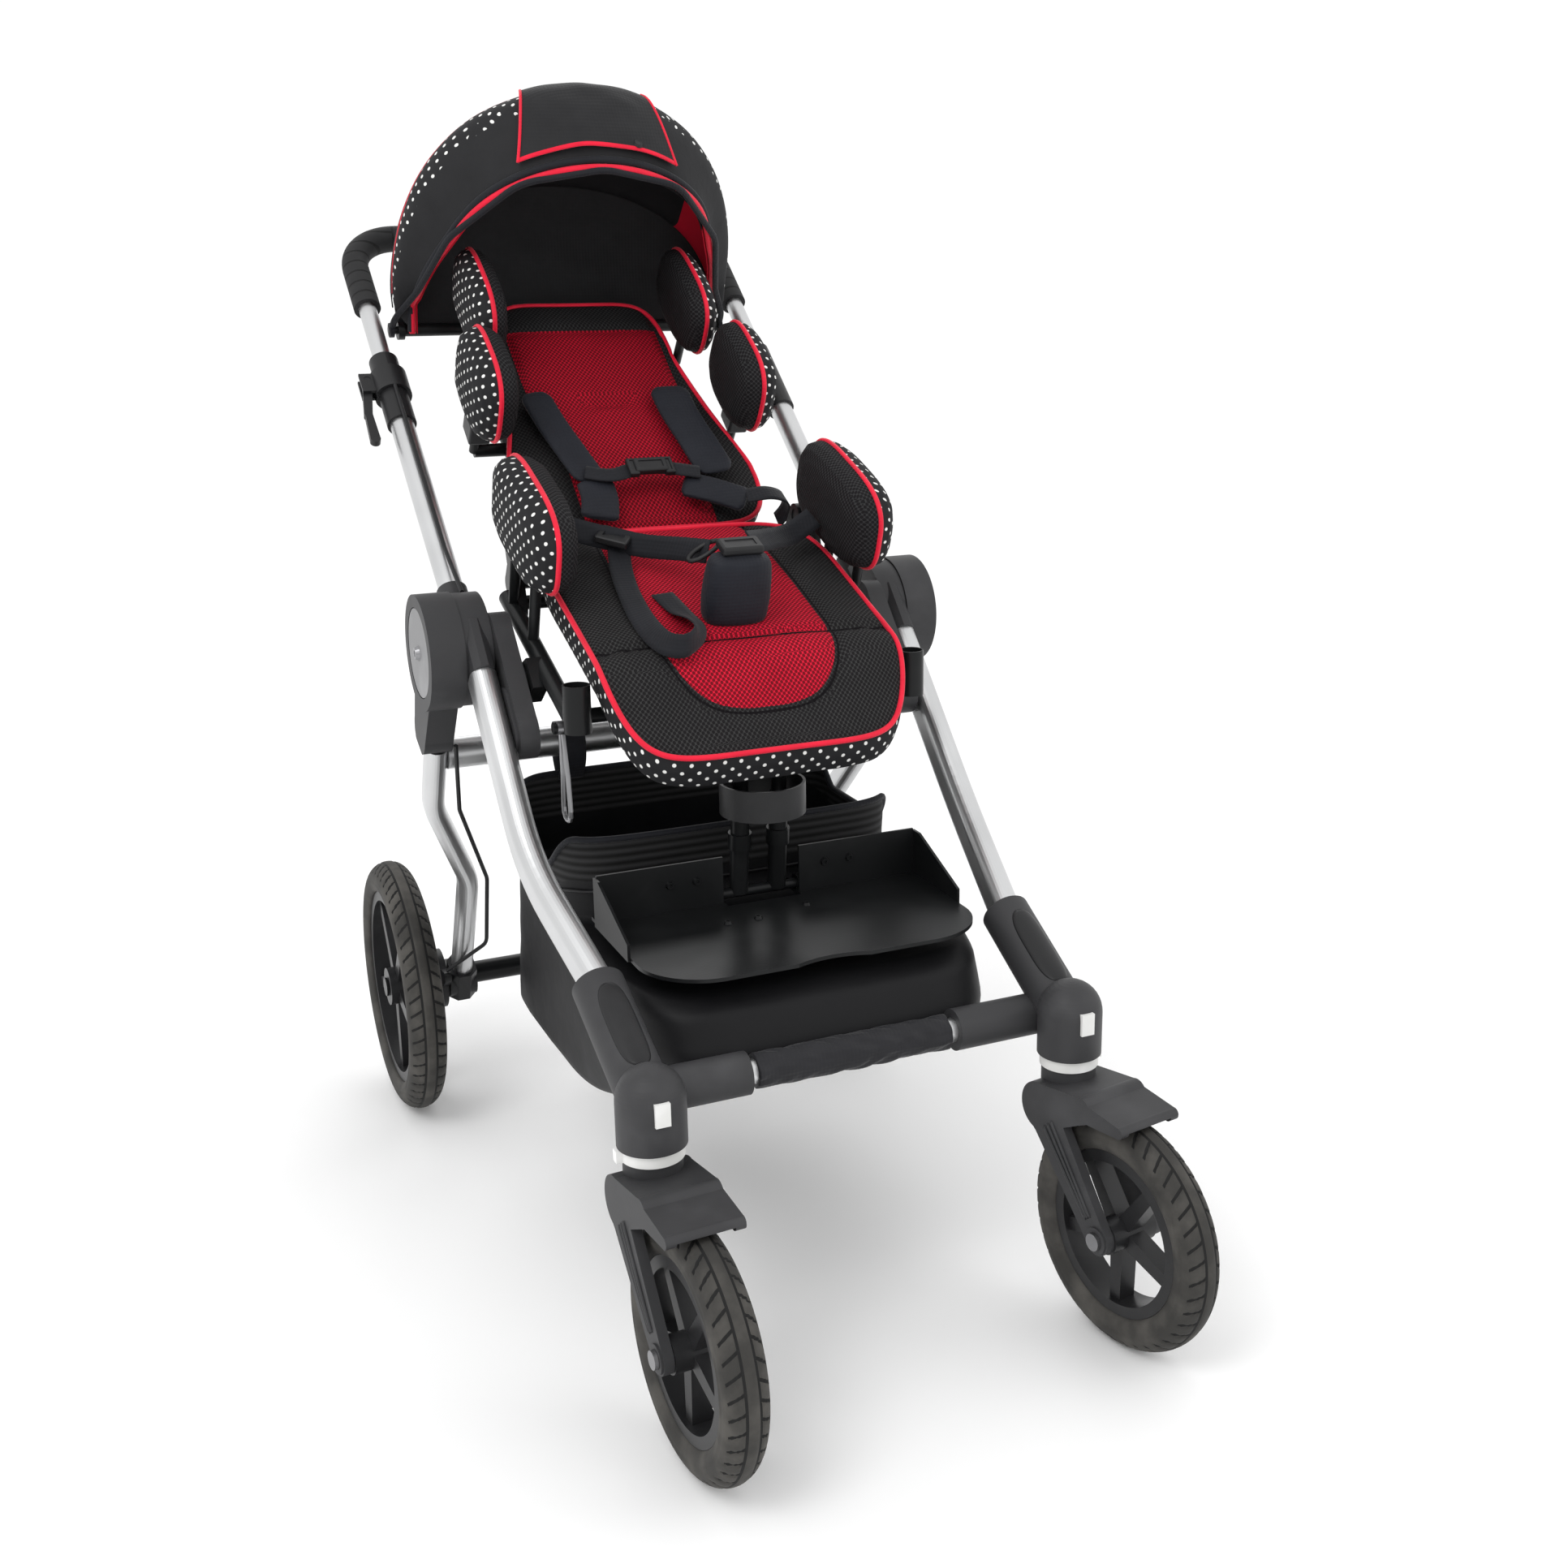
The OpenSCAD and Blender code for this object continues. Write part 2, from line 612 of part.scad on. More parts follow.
module fork(side) color([0.2, 0.2, 0.2]) at_caster(side) difference() {
    union() {
        translate([0, 0, neck_top - 10]) cylinder(r = stem_pin_r, h = 54);
        translate([0, 0, neck_top - 60]) cylinder(r = 28, h = 60);
        slab_x(-fork_out, fork_out) {
            link([2, neck_top - 40], 26, [-62, neck_top - 20], 14);
            link([-60, neck_top - 20.5], 11.5, [-116, neck_top - 22], 6);
        }
        slab_x(-fork_out, fork_out) link([-8, neck_top - 48], 24, [-caster_trail, front_wheel_r], 16);
        rod_x(-fork_out - 2, fork_out + 2, -caster_trail, front_wheel_r, 14);
    }
    rod_x(-fork_in, fork_in, -caster_trail, front_wheel_r, front_wheel_r + 7);
    rod_x(-100, 100, -caster_trail, front_wheel_r, wheel_bolt_r + run_gap);
}

module wheel_bolt(side) color("dimgray") at_caster(side) {
    rod_x(-fork_out - 2.2, fork_out + 2.2, -caster_trail, front_wheel_r, wheel_bolt_r);
    for (s = [-1, 1]) on_side(s)
        rod_x(fork_out + 2.2, fork_out + 6, -caster_trail, front_wheel_r, wheel_bolt_r + 3);
}

module lock_ring(side) color("white") translate([side * stem_x, stem_y, neck_top + seat_gap]) difference() {
    union() {
        cylinder(r = 30, h = ring_t);
        translate([side * 30 - 6, -5, 0]) cube([12, 10, ring_t]);
    }
    translate([0, 0, -1]) cylinder(r = stem_pin_r + run_gap, h = ring_t + 2);
}

module button(side) color("white")
    translate([side * stem_x - 7.2, stem_y - housing_r - 2.5, knuckle_z + 30.3]) cube([14.4, 13, 22.4]);

// Handle bar
function handle_path(from) = [
    on_handle(from, 1), on_handle(handle_reach, 1), on_handle(handle_reach, -1), on_handle(from, -1)
];

module handle_bar() color("silver") pipe(handle_path(bar_start), 62) circle(handle_bar_r);

module handle_grip() color([0.08, 0.08, 0.08]) pipe(handle_path(grip_start), 62) difference() {
    circle(grip_r);
    circle(handle_bar_r + 0.2);
}

// Seat
module tongue_profile() {
    at = seat_point(0, 5, frame_w);
    polygon([[at[1] - 16, at[2] - 12], [at[1] + 9, at[2] + 15], [14, tilt_z + 16], [-9, tilt_z - 20]]);
}

module seat_frame() color([0.12, 0.12, 0.12]) difference() {
    union() {
        for (side = [-1, 1]) on_side(side) {
            rod(seat_point(seat_tube_x, frame_back + 14, frame_w),
                [seat_tube_x, receiver_y + 8, receiver_bottom + 6], seat_tube_r);
            translate([seat_tube_x, receiver_y, receiver_bottom])
                cylinder(r = receiver_bore_r + 1.8, h = receiver_top - receiver_bottom);
            slab_x(tongue_in, tongue_out - 2) tongue_profile();
            rod_x(tongue_in + 1, tongue_out, 0, tilt_z, 21);
            rod_x(tongue_out - 4, dock_in + 14, 0, tilt_z, tilt_pin_r);
            slab_x(ear_in, ear_out) link([recline_y, recline_z], 15,
                [seat_point(0, frame_back - 10, frame_w)[1], seat_point(0, frame_back - 10, frame_w)[2]], 14);
            rod_x(163, ear_in + 2, recline_y, recline_z, recline_pin_r);
            for (v = [hip_mid - 45, hip_mid + 35])
                rod(seat_point(seat_tube_x, v, frame_w), seat_point(seat_tube_x, v, hip_post_up), 6);
            rod([foot_x, foot_y, foot_z] + 54 * foot_up(),
                [foot_x, foot_y, foot_z] + (foot_rod_len + 6) * foot_up(), foot_rod_r);
        }
        for (v = [frame_front, frame_back]) rod(seat_point(-seat_tube_x, v, frame_w),
            seat_point(seat_tube_x, v, frame_w), seat_tube_r - 2);
        rod([-foot_x - 16, 0, 0] + foot_head(), [foot_x + 16, 0, 0] + foot_head(), 11);
        for (x = [-34, 34]) rod([x, 0, 0] + foot_head(), seat_point(x, frame_front, frame_w), 6);
        rod_x(loop_x - 6, -seat_tube_x + 2, receiver_y + 34, 598, 4);
        rod_x(loop_x - 9, loop_x - 6, receiver_y + 34, 598, 6);
        slab_x(-seat_tube_x - 1, -seat_tube_x + 3)
            link([receiver_y + 34, 598], 8, [receiver_y + 40, 622], 7);
    }
    for (side = [-1, 1]) translate([side * seat_tube_x, receiver_y, receiver_bottom - 1])
        cylinder(r = receiver_bore_r, h = receiver_top - receiver_bottom + 2);
}

function foot_up() = [0, -sin(foot_lean), cos(foot_lean)];
function foot_head() = [0, foot_y, foot_z] + foot_rod_len * foot_up();

module seat_pan() color([0.3, 0.3, 0.3]) on_seat()
    translate([-150, frame_front + 15, -seat_thick - pan_drop - pan_t - 2])
        cube([300, frame_back - frame_front - 10, pan_t + 2]);

seat_mid = -8;
seat_half_l = 194;
function seat_drop(v) = -54 * smooth((-v - 85) / 115);
module seat_cushion() color([0.1, 0.1, 0.1]) on_seat() pillow(
    function(a) plan(a, seat_half_w, seat_half_l, 5, 0.02),
    crowned(7, seat_thick),
    function(p) [
        p[0] * (1 - 0.07 * smooth((-p[1] - 90) / 100)), p[1] + seat_mid, p[2] + seat_drop(p[1] + seat_mid)
    ]
);

module hip_pad(side) color([0.1, 0.1, 0.1]) on_seat()
    translate([side * hip_x, hip_mid, hip_up + hip_half_h]) rotate([0, 90, 0])
    pillow(
        function(a) plan(a, hip_half_h, hip_half_l, 3, 0.02),
        swollen(hip_pad_w),
        function(p) p
    );

module pommel() color([0.07, 0.08, 0.1]) on_seat() translate([0, -36, 75]) pillow(
    function(a) plan(a, 36, 20, 3, 0),
    [[0.5, 8], [0.8, 4], [0.95, -4], [1, -20], [1.03, -45], [0.98, -65], [0.9, -68.1]],
    function(p) [p[0], p[1] + 0.0016 * p[0] * p[0], p[2]]
);

// A wire loop that hangs below the right receiver
loop_x = -197;
module tilt_loop() color("gray") translate([loop_x, receiver_y + 34, 598]) {
    sweep(
        route([[0, -4, -6.2], [0, -16, -50], [0, -22, -98], [0, 6, -98], [0, 2, -50], [0, 4, -6.2]], 11, 3),
        round_outline(5, 5, 8),
        [1, 0, 0]
    );
    difference() {
        rod_x(-5, 4, 0, 0, 7);
        rod_x(-6, 6, 0, 0, 4 + run_gap);
    }
}

module footrest_tubes() color([0.1, 0.1, 0.1]) {
    for (x = [-foot_x, foot_x]) {
        base = [x, foot_y, foot_z];
        run(base + 8 * foot_up(), base + 112 * foot_up(), [1, 0, 0]) difference() {
            circle(foot_tube_r);
            circle(foot_rod_r + run_gap);
        }
        run(base + 52 * foot_up(), base + 70 * foot_up(), [1, 0, 0]) difference() {
            circle(foot_tube_r + 2.5);
            circle(foot_rod_r + run_gap);
        }
        run(base, base + 12 * foot_up(), [1, 0, 0]) circle(foot_tube_r);
    }
    rod_x(-58, 58, foot_y, foot_z, hinge_rod_r);
}

module calf_ring() color([0.08, 0.08, 0.08]) {
    height = 34;
    low = 498;
    mid_y = foot_y - 20;
    translate([0, mid_y, low]) difference() {
        cylinder(r = 46, h = height);
        translate([0, 0, -1]) cylinder(r = 43, h = height + 2);
    }
    translate([-11, mid_y + 43.2, low + 8])
        cube([22, 3, seat_point(0, frame_front, frame_w)[2] - seat_tube_r + 2.6 - low - 8]);
}

module footplate() color([0.07, 0.07, 0.08]) {
    back = foot_y + 12;
    front = back - footplate_depth;
    top = foot_z - hinge_rod_r;
    wall_y = foot_y - 9;
    w = footplate_half_w;
    difference() {
        translate([0, 0, top - plate_t]) linear_extrude(plate_t) difference() {
            union() {
                translate([-w, front + 70]) square([2 * w, footplate_depth - 70]);
                for (s = [-1, 1]) translate([s * (w - 70), front + 70]) circle(70);
                translate([-(w - 70), front]) square([2 * (w - 70), 80]);
            }
            translate([0, front - 92]) circle(100);
            translate([-42, back - 34]) square([84, 40]);
        }
    }
    for (s = [-1, 1]) on_side(s) {
        translate([44, wall_y - 3, top - plate_t]) cube([w - 44, 3, 56]);
        slab_x(w, w + 3) polygon([
            [wall_y, top - plate_t], [wall_y, top + 50], [wall_y - 16, top + 50],
            [front + 88, top + 14], [front + 88, top - plate_t]
        ]);
        difference() {
            union() {
                rod_x(44, 56, foot_y, foot_z, hinge_rod_r + 4);
                translate([44, wall_y - 1, top - plate_t]) cube([12, 9, 8]);
            }
            rod_x(43, 57, foot_y, foot_z, hinge_rod_r + run_gap);
        }
    }
}

// Back
function back_half(z) = 156 - 44 * smooth((z - 70) / 230);
module back_frame() color([0.12, 0.12, 0.12]) on_back() difference() {
    union() {
        for (side = [-1, 1]) on_side(side) {
            rod([upright_x, frame_y, -10], [upright_x, frame_y, hood_z + 6], back_tube_r);
            slab_x(162, ear_in - 0.5) link([0, 0], 15, [frame_y, 0], 11);
            rod([wing_x, frame_y, wing_z], [wing_x, 26.1, wing_z], 6);
            rod([thorax_x, frame_y, thorax_z], [thorax_x, 21.9, thorax_z], 6);
            rod_x(hood_half_w - 15, hood_half_w - 7, hood_y, hood_z, 12);
            rod_x(hood_half_w - 10, hood_half_w + 4, hood_y, hood_z, hood_pin_r);
        }
        for (z = [0, thorax_z, wing_z]) {
            reach = z == 0 ? 164 : z == wing_z ? wing_x : thorax_x;
            rod([-reach, frame_y, z], [reach, frame_y, z], back_tube_r - 1);
        }
        rod([-hood_half_w + 8, hood_y, hood_z], [hood_half_w - 8, hood_y, hood_z], 8);
    }
    rod_x(-ear_in, ear_in, 0, 0, recline_pin_r + run_gap);
}

module back_cushion() color([0.55, 0.05, 0.09]) on_back()
    translate([0, back_front, 18 + back_len / 2]) rotate([90, 0, 0]) pillow(
        function(a) plan(a, 1, back_len / 2, 6, 0.012),
        crowned(7, back_thick),
        function(p) [p[0] * back_half(p[1] + back_len / 2), p[1], p[2] - 5 * exp(-pow((p[1] - 25) / 7, 2))]
    );

module side_pad(side, at, hw, hl, t, lean)
    translate([side * at[0], at[1], at[2]]) rotate([0, 90, 0]) rotate(lean)
    pillow(function(a) plan(a, hl, hw, 2.8, 0.02), swollen(t), function(p) p);

module thoracic_pad(side) color([0.1, 0.1, 0.1]) on_back()
    side_pad(side, [thorax_x, thorax_y, thorax_z], 50, 66, 42, -6);

module headrest() color([0.1, 0.1, 0.1]) on_back() for (side = [-1, 1])
    side_pad(side, [wing_x, wing_y, wing_z], 42, 64, 28, -6);

// Hood, in a frame whose X axis runs through its pivots
module at_hood() on_back() translate([0, hood_y, hood_z]) rotate([90 - back_rise, 0, 0]) children();
function bow_point(x, reach, angle) = [x, reach * cos(angle), reach * sin(angle)];

module hood_bow() color("gray") at_hood() {
    half = [[1, 0.02], [0.99, 0.085], [0.89, 0.26], [0.775, 0.6], [0.45, 0.93]];
    shape = concat(half, [[0, 1.02]], [for (i = [0:4]) [-half[4 - i][0], half[4 - i][1]]]);
    sweep(
        route([for (s = shape) bow_point(s[0] * hood_half_w, s[1] * hood_reach, bow_angle)], 60, 4),
        round_outline(2 * bow_r, 2 * bow_r, 10),
        [0, -sin(bow_angle), cos(bow_angle)]
    );
    for (side = [-1, 1]) on_side(side) difference() {
        rod_x(hood_half_w - 2.6, hood_half_w + 3, 0, 0, 9);
        rod_x(hood_half_w - 4, hood_half_w + 5, 0, 0, hood_pin_r + run_gap);
    }
}

canopy_steps = 10;
canopy_sides = 26;
function canopy_angle(t) = bow_angle - 51 * t;
function canopy_reach(t) = hood_reach + 38 * sin(180 * min(t / 0.9, 1)) - 106 * smooth((t - 0.35) / 0.65);
function canopy_narrow(t, h) =
    1 - 0.1 * (1 - smooth(t / 0.35)) * smooth(h / 0.2) * (1 - smooth((h - 0.5) / 0.45));
function canopy_point(t, a, inset) =
    let (r = canopy_reach(t) - inset, w = hood_half_w - 2 - inset)
    [
        w * cos(a) * canopy_narrow(t, sin(a)),
        3.1 + r * sin(a) * cos(canopy_angle(t)),
        3.5 + r * sin(a) * sin(canopy_angle(t))
    ];
function outer(j, i) = j * (canopy_sides + 1) + i;
function inner(j, i) = (canopy_sides + 1) * (canopy_steps + 1) + outer(j, i);

module canopy() color([0.09, 0.09, 0.1]) at_hood() {
    n = canopy_sides;
    m = canopy_steps;
    from = 9;
    points = [
        for (inset = [0, 3]) for (j = [0:m]) for (i = [0:n])
            canopy_point(j / m, from + (180 - 2 * from) * i / n, inset)
    ];
    faces = concat(
        [for (j = [0:m - 1]) for (i = [0:n - 1]) [outer(j, i), outer(j, i + 1), outer(j + 1, i + 1)]],
        [for (j = [0:m - 1]) for (i = [0:n - 1]) [outer(j, i), outer(j + 1, i + 1), outer(j + 1, i)]],
        [for (j = [0:m - 1]) for (i = [0:n - 1]) [inner(j, i), inner(j + 1, i + 1), inner(j, i + 1)]],
        [for (j = [0:m - 1]) for (i = [0:n - 1]) [inner(j, i), inner(j + 1, i), inner(j + 1, i + 1)]],
        [for (i = [0:n - 1]) [outer(0, i), inner(0, i), inner(0, i + 1)]],
        [for (i = [0:n - 1]) [outer(0, i), inner(0, i + 1), outer(0, i + 1)]],
        [for (i = [0:n - 1]) [outer(m, i), outer(m, i + 1), inner(m, i + 1)]],
        [for (i = [0:n - 1]) [outer(m, i), inner(m, i + 1), inner(m, i)]],
        [for (j = [0:m - 1]) [outer(j, 0), outer(j + 1, 0), inner(j + 1, 0)]],
        [for (j = [0:m - 1]) [outer(j, 0), inner(j + 1, 0), inner(j, 0)]],
        [for (j = [0:m - 1]) [outer(j, n), inner(j, n), inner(j + 1, n)]],
        [for (j = [0:m - 1]) [outer(j, n), inner(j + 1, n), outer(j + 1, n)]]
    );
    polyhedron(points, faces, convexity = 6);
}

front_leg(1);  // left_front_leg
front_leg(-1);  // right_front_leg
knuckle(1);  // left_knuckle
knuckle(-1);  // right_knuckle
front_cross_tube();
cross_tube_sleeve();
fold_hub(1);  // left_fold_hub
fold_hub(-1);  // right_fold_hub
seat_docks();
handle_tubes();
handle_sleeves();
brake_clamp();
brake_cable();
basket();
rear_leg(1);  // left_rear_leg
rear_leg(-1);  // right_rear_leg
rear_cross_tube();
rear_axle();
axle_brackets();
hub_drum(1);  // left_hub_drum
hub_drum(-1);  // right_hub_drum
hub_caps();
brake_drums();
rear_cable();
rear_tyre(1);  // left_rear_tyre
rear_rim(1);  // left_rear_rim
rear_tyre(-1);  // right_rear_tyre
rear_rim(-1);  // right_rear_rim
fork(1);  // left_fork
wheel_bolt(1);  // left_wheel_bolt
front_tyre(1);  // left_front_tyre
front_rim(1);  // left_front_rim
fork(-1);  // right_fork
wheel_bolt(-1);  // right_wheel_bolt
front_tyre(-1);  // right_front_tyre
front_rim(-1);  // right_front_rim
button(1);  // left_button
button(-1);  // right_button
lock_ring(1);  // left_lock_ring
lock_ring(-1);  // right_lock_ring
handle_bar();
handle_grip();
brake_lever();
seat_frame();
seat_pan();
seat_cushion();
hip_pad(1);  // left_hip_pad
hip_pad(-1);  // right_hip_pad
pommel();
tilt_loop();
footrest_tubes();
calf_ring();
footplate();
back_frame();
back_cushion();
thoracic_pad(1);  // left_thoracic_pad
thoracic_pad(-1);  // right_thoracic_pad
headrest();
hood_bow();
canopy();
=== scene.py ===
import bpy
import bmesh
import json
from math import atan2, cos, exp, hypot, pi, radians, sin
from mathutils import Matrix, Vector, noise


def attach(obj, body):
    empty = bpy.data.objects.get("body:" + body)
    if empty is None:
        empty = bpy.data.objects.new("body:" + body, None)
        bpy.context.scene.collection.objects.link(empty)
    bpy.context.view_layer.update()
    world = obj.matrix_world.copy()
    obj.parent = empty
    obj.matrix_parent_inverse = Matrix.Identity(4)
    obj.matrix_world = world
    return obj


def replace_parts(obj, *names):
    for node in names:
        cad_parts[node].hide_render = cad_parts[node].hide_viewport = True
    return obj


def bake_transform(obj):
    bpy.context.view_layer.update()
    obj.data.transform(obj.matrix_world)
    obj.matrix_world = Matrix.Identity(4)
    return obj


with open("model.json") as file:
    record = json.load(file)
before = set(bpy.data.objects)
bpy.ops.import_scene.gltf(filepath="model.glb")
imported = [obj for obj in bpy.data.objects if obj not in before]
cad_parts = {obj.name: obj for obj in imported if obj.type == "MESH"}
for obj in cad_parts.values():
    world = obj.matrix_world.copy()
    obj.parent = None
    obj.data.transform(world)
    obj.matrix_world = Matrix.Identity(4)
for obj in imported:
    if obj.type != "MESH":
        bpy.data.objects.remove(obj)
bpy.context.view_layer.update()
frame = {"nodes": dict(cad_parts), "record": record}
nodes = frame["nodes"]
scene = bpy.context.scene
scene.view_settings.view_transform = "Standard"

MM = 0.001
ROUND = 2 * pi
ACROSS = Vector((1, 0, 0))
SIDES = ((1, "left"), (-1, "right"))
CASTERS = ((1, "left", radians(9.8)), (-1, "right", radians(3.2)))

# Camera, at the photograph's place
CAMERA_SPOT = (-0.6908, -1.8962, 1.0816)
CAMERA_TURN = radians(26.591)
CAMERA_DIP = radians(15.9)
CAMERA_ROLL = radians(0.116)
SENSOR_WIDTH = 36
LENS = 42.03
LENS_SHIFT = (-0.0818, -0.0135)
FAR_END = 60


def place_camera():
    level_run = cos(CAMERA_DIP)
    ahead = Vector(
        (sin(CAMERA_TURN) * level_run, cos(CAMERA_TURN) * level_run, -sin(CAMERA_DIP))
    )
    level = Vector((cos(CAMERA_TURN), -sin(CAMERA_TURN), 0))
    upright = level.cross(ahead)
    right = cos(CAMERA_ROLL) * level + sin(CAMERA_ROLL) * upright
    up = cos(CAMERA_ROLL) * upright - sin(CAMERA_ROLL) * level
    camera = bpy.data.objects.new("camera", bpy.data.cameras.new("camera"))
    scene.collection.objects.link(camera)
    facing = Matrix((right, up, -ahead)).transposed().to_4x4()
    camera.matrix_world = Matrix.Translation(CAMERA_SPOT) @ facing
    camera.data.sensor_width = SENSOR_WIDTH
    camera.data.lens = LENS
    camera.data.shift_x, camera.data.shift_y = LENS_SHIFT
    camera.data.clip_end = FAR_END
    scene.camera = camera


place_camera()

# Outputs of the coordinate node, and sockets of the colour mix node
NORMAL, SEWN, PLACE = 1, 2, 3
MIX_MASK, MIX_FIRST, MIX_SECOND, MIX_COLOUR = 0, 6, 7, 2
# How softly a spot ends, as shares of its squared radius
SPOT_FADE = (1.35, 0.7)


# Shader maths as expressions
class Wire:
    def __init__(self, look, socket):
        self.look = look
        self.socket = socket

    def math(self, operation, *others):
        into = {i: w for i, w in enumerate((self, *others))}
        return self.look.node("Math", into, operation=operation)

    def __add__(self, other):
        return self.math("ADD", other)

    def __sub__(self, other):
        return self.math("SUBTRACT", other)

    def __mul__(self, other):
        return self.math("MULTIPLY", other)

    def __truediv__(self, other):
        return self.math("DIVIDE", other)

    def __gt__(self, other):
        return self.math("GREATER_THAN", other)

    def __lt__(self, other):
        return self.math("LESS_THAN", other)

    def __rsub__(self, other):
        return self * -1 + other

    __radd__ = __add__
    __rmul__ = __mul__

    def fract(self):
        return self.math("FRACT")

    def size(self):
        return self.math("ABSOLUTE")

    def wave(self):
        return self.math("SINE")

    def least(self, other):
        return self.math("MINIMUM", other)

    def most(self, other):
        return self.math("MAXIMUM", other)

    def soft(self, low, high):
        into = {"Value": self, "From Min": low, "From Max": high}
        return self.look.node("MapRange", into, interpolation_type="SMOOTHSTEP")


class Look:
    def __init__(self, name, colour, rough, metal=0.0, **fixed):
        self.material = bpy.data.materials.new(name)
        self.material.use_nodes = True
        self.tree = self.material.node_tree
        self.shader = self.tree.nodes["Principled BSDF"]
        self.set("Base Color", (*colour, 1))
        self.set("Roughness", rough)
        self.set("Metallic", metal)
        for key, value in fixed.items():
            self.set(key.replace("_", " "), value)

    def set(self, socket, value):
        if isinstance(value, Wire):
            self.tree.links.new(value.socket, self.shader.inputs[socket])
        else:
            self.shader.inputs[socket].default_value = value

    def node(self, kind, into=None, out=0, **settings):
        made = self.tree.nodes.new("ShaderNode" + kind)
        for key, value in settings.items():
            setattr(made, key, value)
        for key, value in (into or {}).items():
            if isinstance(value, Wire):
                self.tree.links.new(value.socket, made.inputs[key])
            else:
                made.inputs[key].default_value = value
        if isinstance(out, tuple):
            return [Wire(self, made.outputs[o]) for o in out]
        return Wire(self, made.outputs[out])

    def axes(self, which=PLACE):
        spot = self.node("TexCoord", out=which)
        return self.node("SeparateXYZ", {0: spot}, out=(0, 1, 2))

    def noise(self, scale, detail):
        spot = self.node("TexCoord", out=PLACE)
        return self.node("TexNoise", {"Vector": spot, "Scale": scale, "Detail": detail})

    def tint(self, mask, first, second):
        into = {MIX_MASK: mask}
        for key, value in ((MIX_FIRST, first), (MIX_SECOND, second)):
            into[key] = value if isinstance(value, Wire) else (*value, 1)
        return self.node("Mix", into, out=MIX_COLOUR, data_type="RGBA")

    def bump(self, height, strength, depth):
        into = {"Height": height, "Strength": strength, "Distance": depth}
        self.set("Normal", self.node("Bump", into))

    # The two coordinates that lie along the surface, in metres
    def flat(self):
        x, y, z = self.axes()
        a, b, c = [n.size() for n in self.axes(NORMAL)]
        side = (a > b) * (a > c)
        top = (1 - side) * (c > b)
        return x + (y - x) * side, z + (y - z) * top

    # A staggered lattice of round spots: 1 inside a spot
    def spots(self, pitch, radius, sewn=False):
        u, v = self.axes(SEWN)[:2] if sewn else self.flat()
        near = []
        for shift in (0.0, 0.5):
            p = (u / pitch + shift).fract() - 0.5
            q = (v / pitch + shift).fract() - 0.5
            near.append(p * p + q * q)
        low, high = [radius * radius * share for share in SPOT_FADE]
        return near[0].least(near[1]).soft(low, high)


RED = (0.54, 0.005, 0.026)
DEEP_RED = (0.4, 0.004, 0.018)
BRIGHT_RED = (0.74, 0.012, 0.042)
COAL = (0.009, 0.009, 0.01)
INK = (0.006, 0.0065, 0.009)
DOT_WHITE = (0.78, 0.78, 0.76)
# Pitches in metres, radii as shares of the pitch
DOT_PITCH, DOT_RADIUS = 0.0175, 0.118
HOLE_PITCH, HOLE_RADIUS = 0.0054, 0.31
# Painted shade in the mesh holes: its colour, and how strongly it covers the ground
HOLE_SHADE_COLOUR = (0.003, 0.002, 0.003)
HOLE_SHADE_AMOUNT = 0.77
WEAVE = 1500


def metal_look(name, colour, rough):
    look = Look(name, colour, rough, metal=1.0)
    cloud = look.noise(scale=9, detail=2)
    grain = look.noise(scale=420, detail=2)
    dull = [c * 0.9 for c in colour]
    look.set("Base Color", look.tint(cloud.soft(0.3, 0.7), dull, colour))
    look.set("Roughness", rough - 0.05 + cloud * 0.08 + grain * 0.06)
    look.bump(grain, strength=0.06, depth=0.0004)
    return look


def plastic_look(name, colour, rough, grain_size=700, strength=0.12, shine=0.3):
    look = Look(name, colour, rough, Specular_IOR_Level=shine)
    cloud = look.noise(scale=14, detail=3)
    grain = look.noise(scale=grain_size, detail=2)
    pale = [min(1, c * 1.5 + 0.004) for c in colour]
    look.set("Base Color", look.tint(cloud.soft(0.45, 0.8), colour, pale))
    look.set("Roughness", rough - 0.08 + cloud * 0.16)
    look.bump(grain, strength, depth=0.0006)
    return look


def cloth_look(name, colour, rough, sheen=0.06):
    look = Look(name, colour, rough, Sheen_Weight=sheen, Specular_IOR_Level=0.22)
    u, v = look.flat()
    weave = ((u * WEAVE).wave() + (v * WEAVE).wave()) * 0.25 + 0.5
    cloud = look.noise(scale=30, detail=4)
    look.set("Base Color", look.tint(cloud, colour, [c * 1.7 + 0.003 for c in colour]))
    look.bump(weave * 0.5 + look.noise(scale=60, detail=3), strength=0.35, depth=0.0012)
    return look


def dotted_look():
    look = Look("dotted cloth", COAL, 0.8, Specular_IOR_Level=0.22)
    dots = look.spots(DOT_PITCH, DOT_RADIUS, sewn=True)
    ground = look.tint(look.noise(scale=40, detail=3), COAL, (0.017, 0.017, 0.019))
    look.set("Base Color", look.tint(dots, ground, DOT_WHITE))
    crease = look.noise(scale=70, detail=3)
    look.bump(dots * 0.4 + crease * 0.6, strength=0.25, depth=0.001)
    return look


# Spacer mesh: the ground is one colour, or a function that lays out several
def mesh_look(name, ground):
    look = Look(name, COAL, 0.8, Specular_IOR_Level=0.14)
    holes = look.spots(HOLE_PITCH, HOLE_RADIUS)
    if callable(ground):
        colour = ground(look)
    else:
        pale = [c * 1.4 for c in ground]
        colour = look.tint(look.noise(scale=20, detail=2), ground, pale)
    # The holes are painted near black, as painted shade in the mesh's recesses
    look.set("Base Color", look.tint(holes * HOLE_SHADE_AMOUNT, colour, HOLE_SHADE_COLOUR))
    look.set("Roughness", 0.7 + holes * 0.2)
    look.bump(1 - holes, strength=0.5, depth=0.0012)
    return look


# Tread: degrees from the tyre's middle, for the round groove and for the slanted blocks
GROOVE_FROM, GROOVE_TO = 15, 21
BLOCKS_TO = 64
BLOCK_SLANT = 0.012
FRONT_PITCHES = 42
REAR_PITCHES = 54


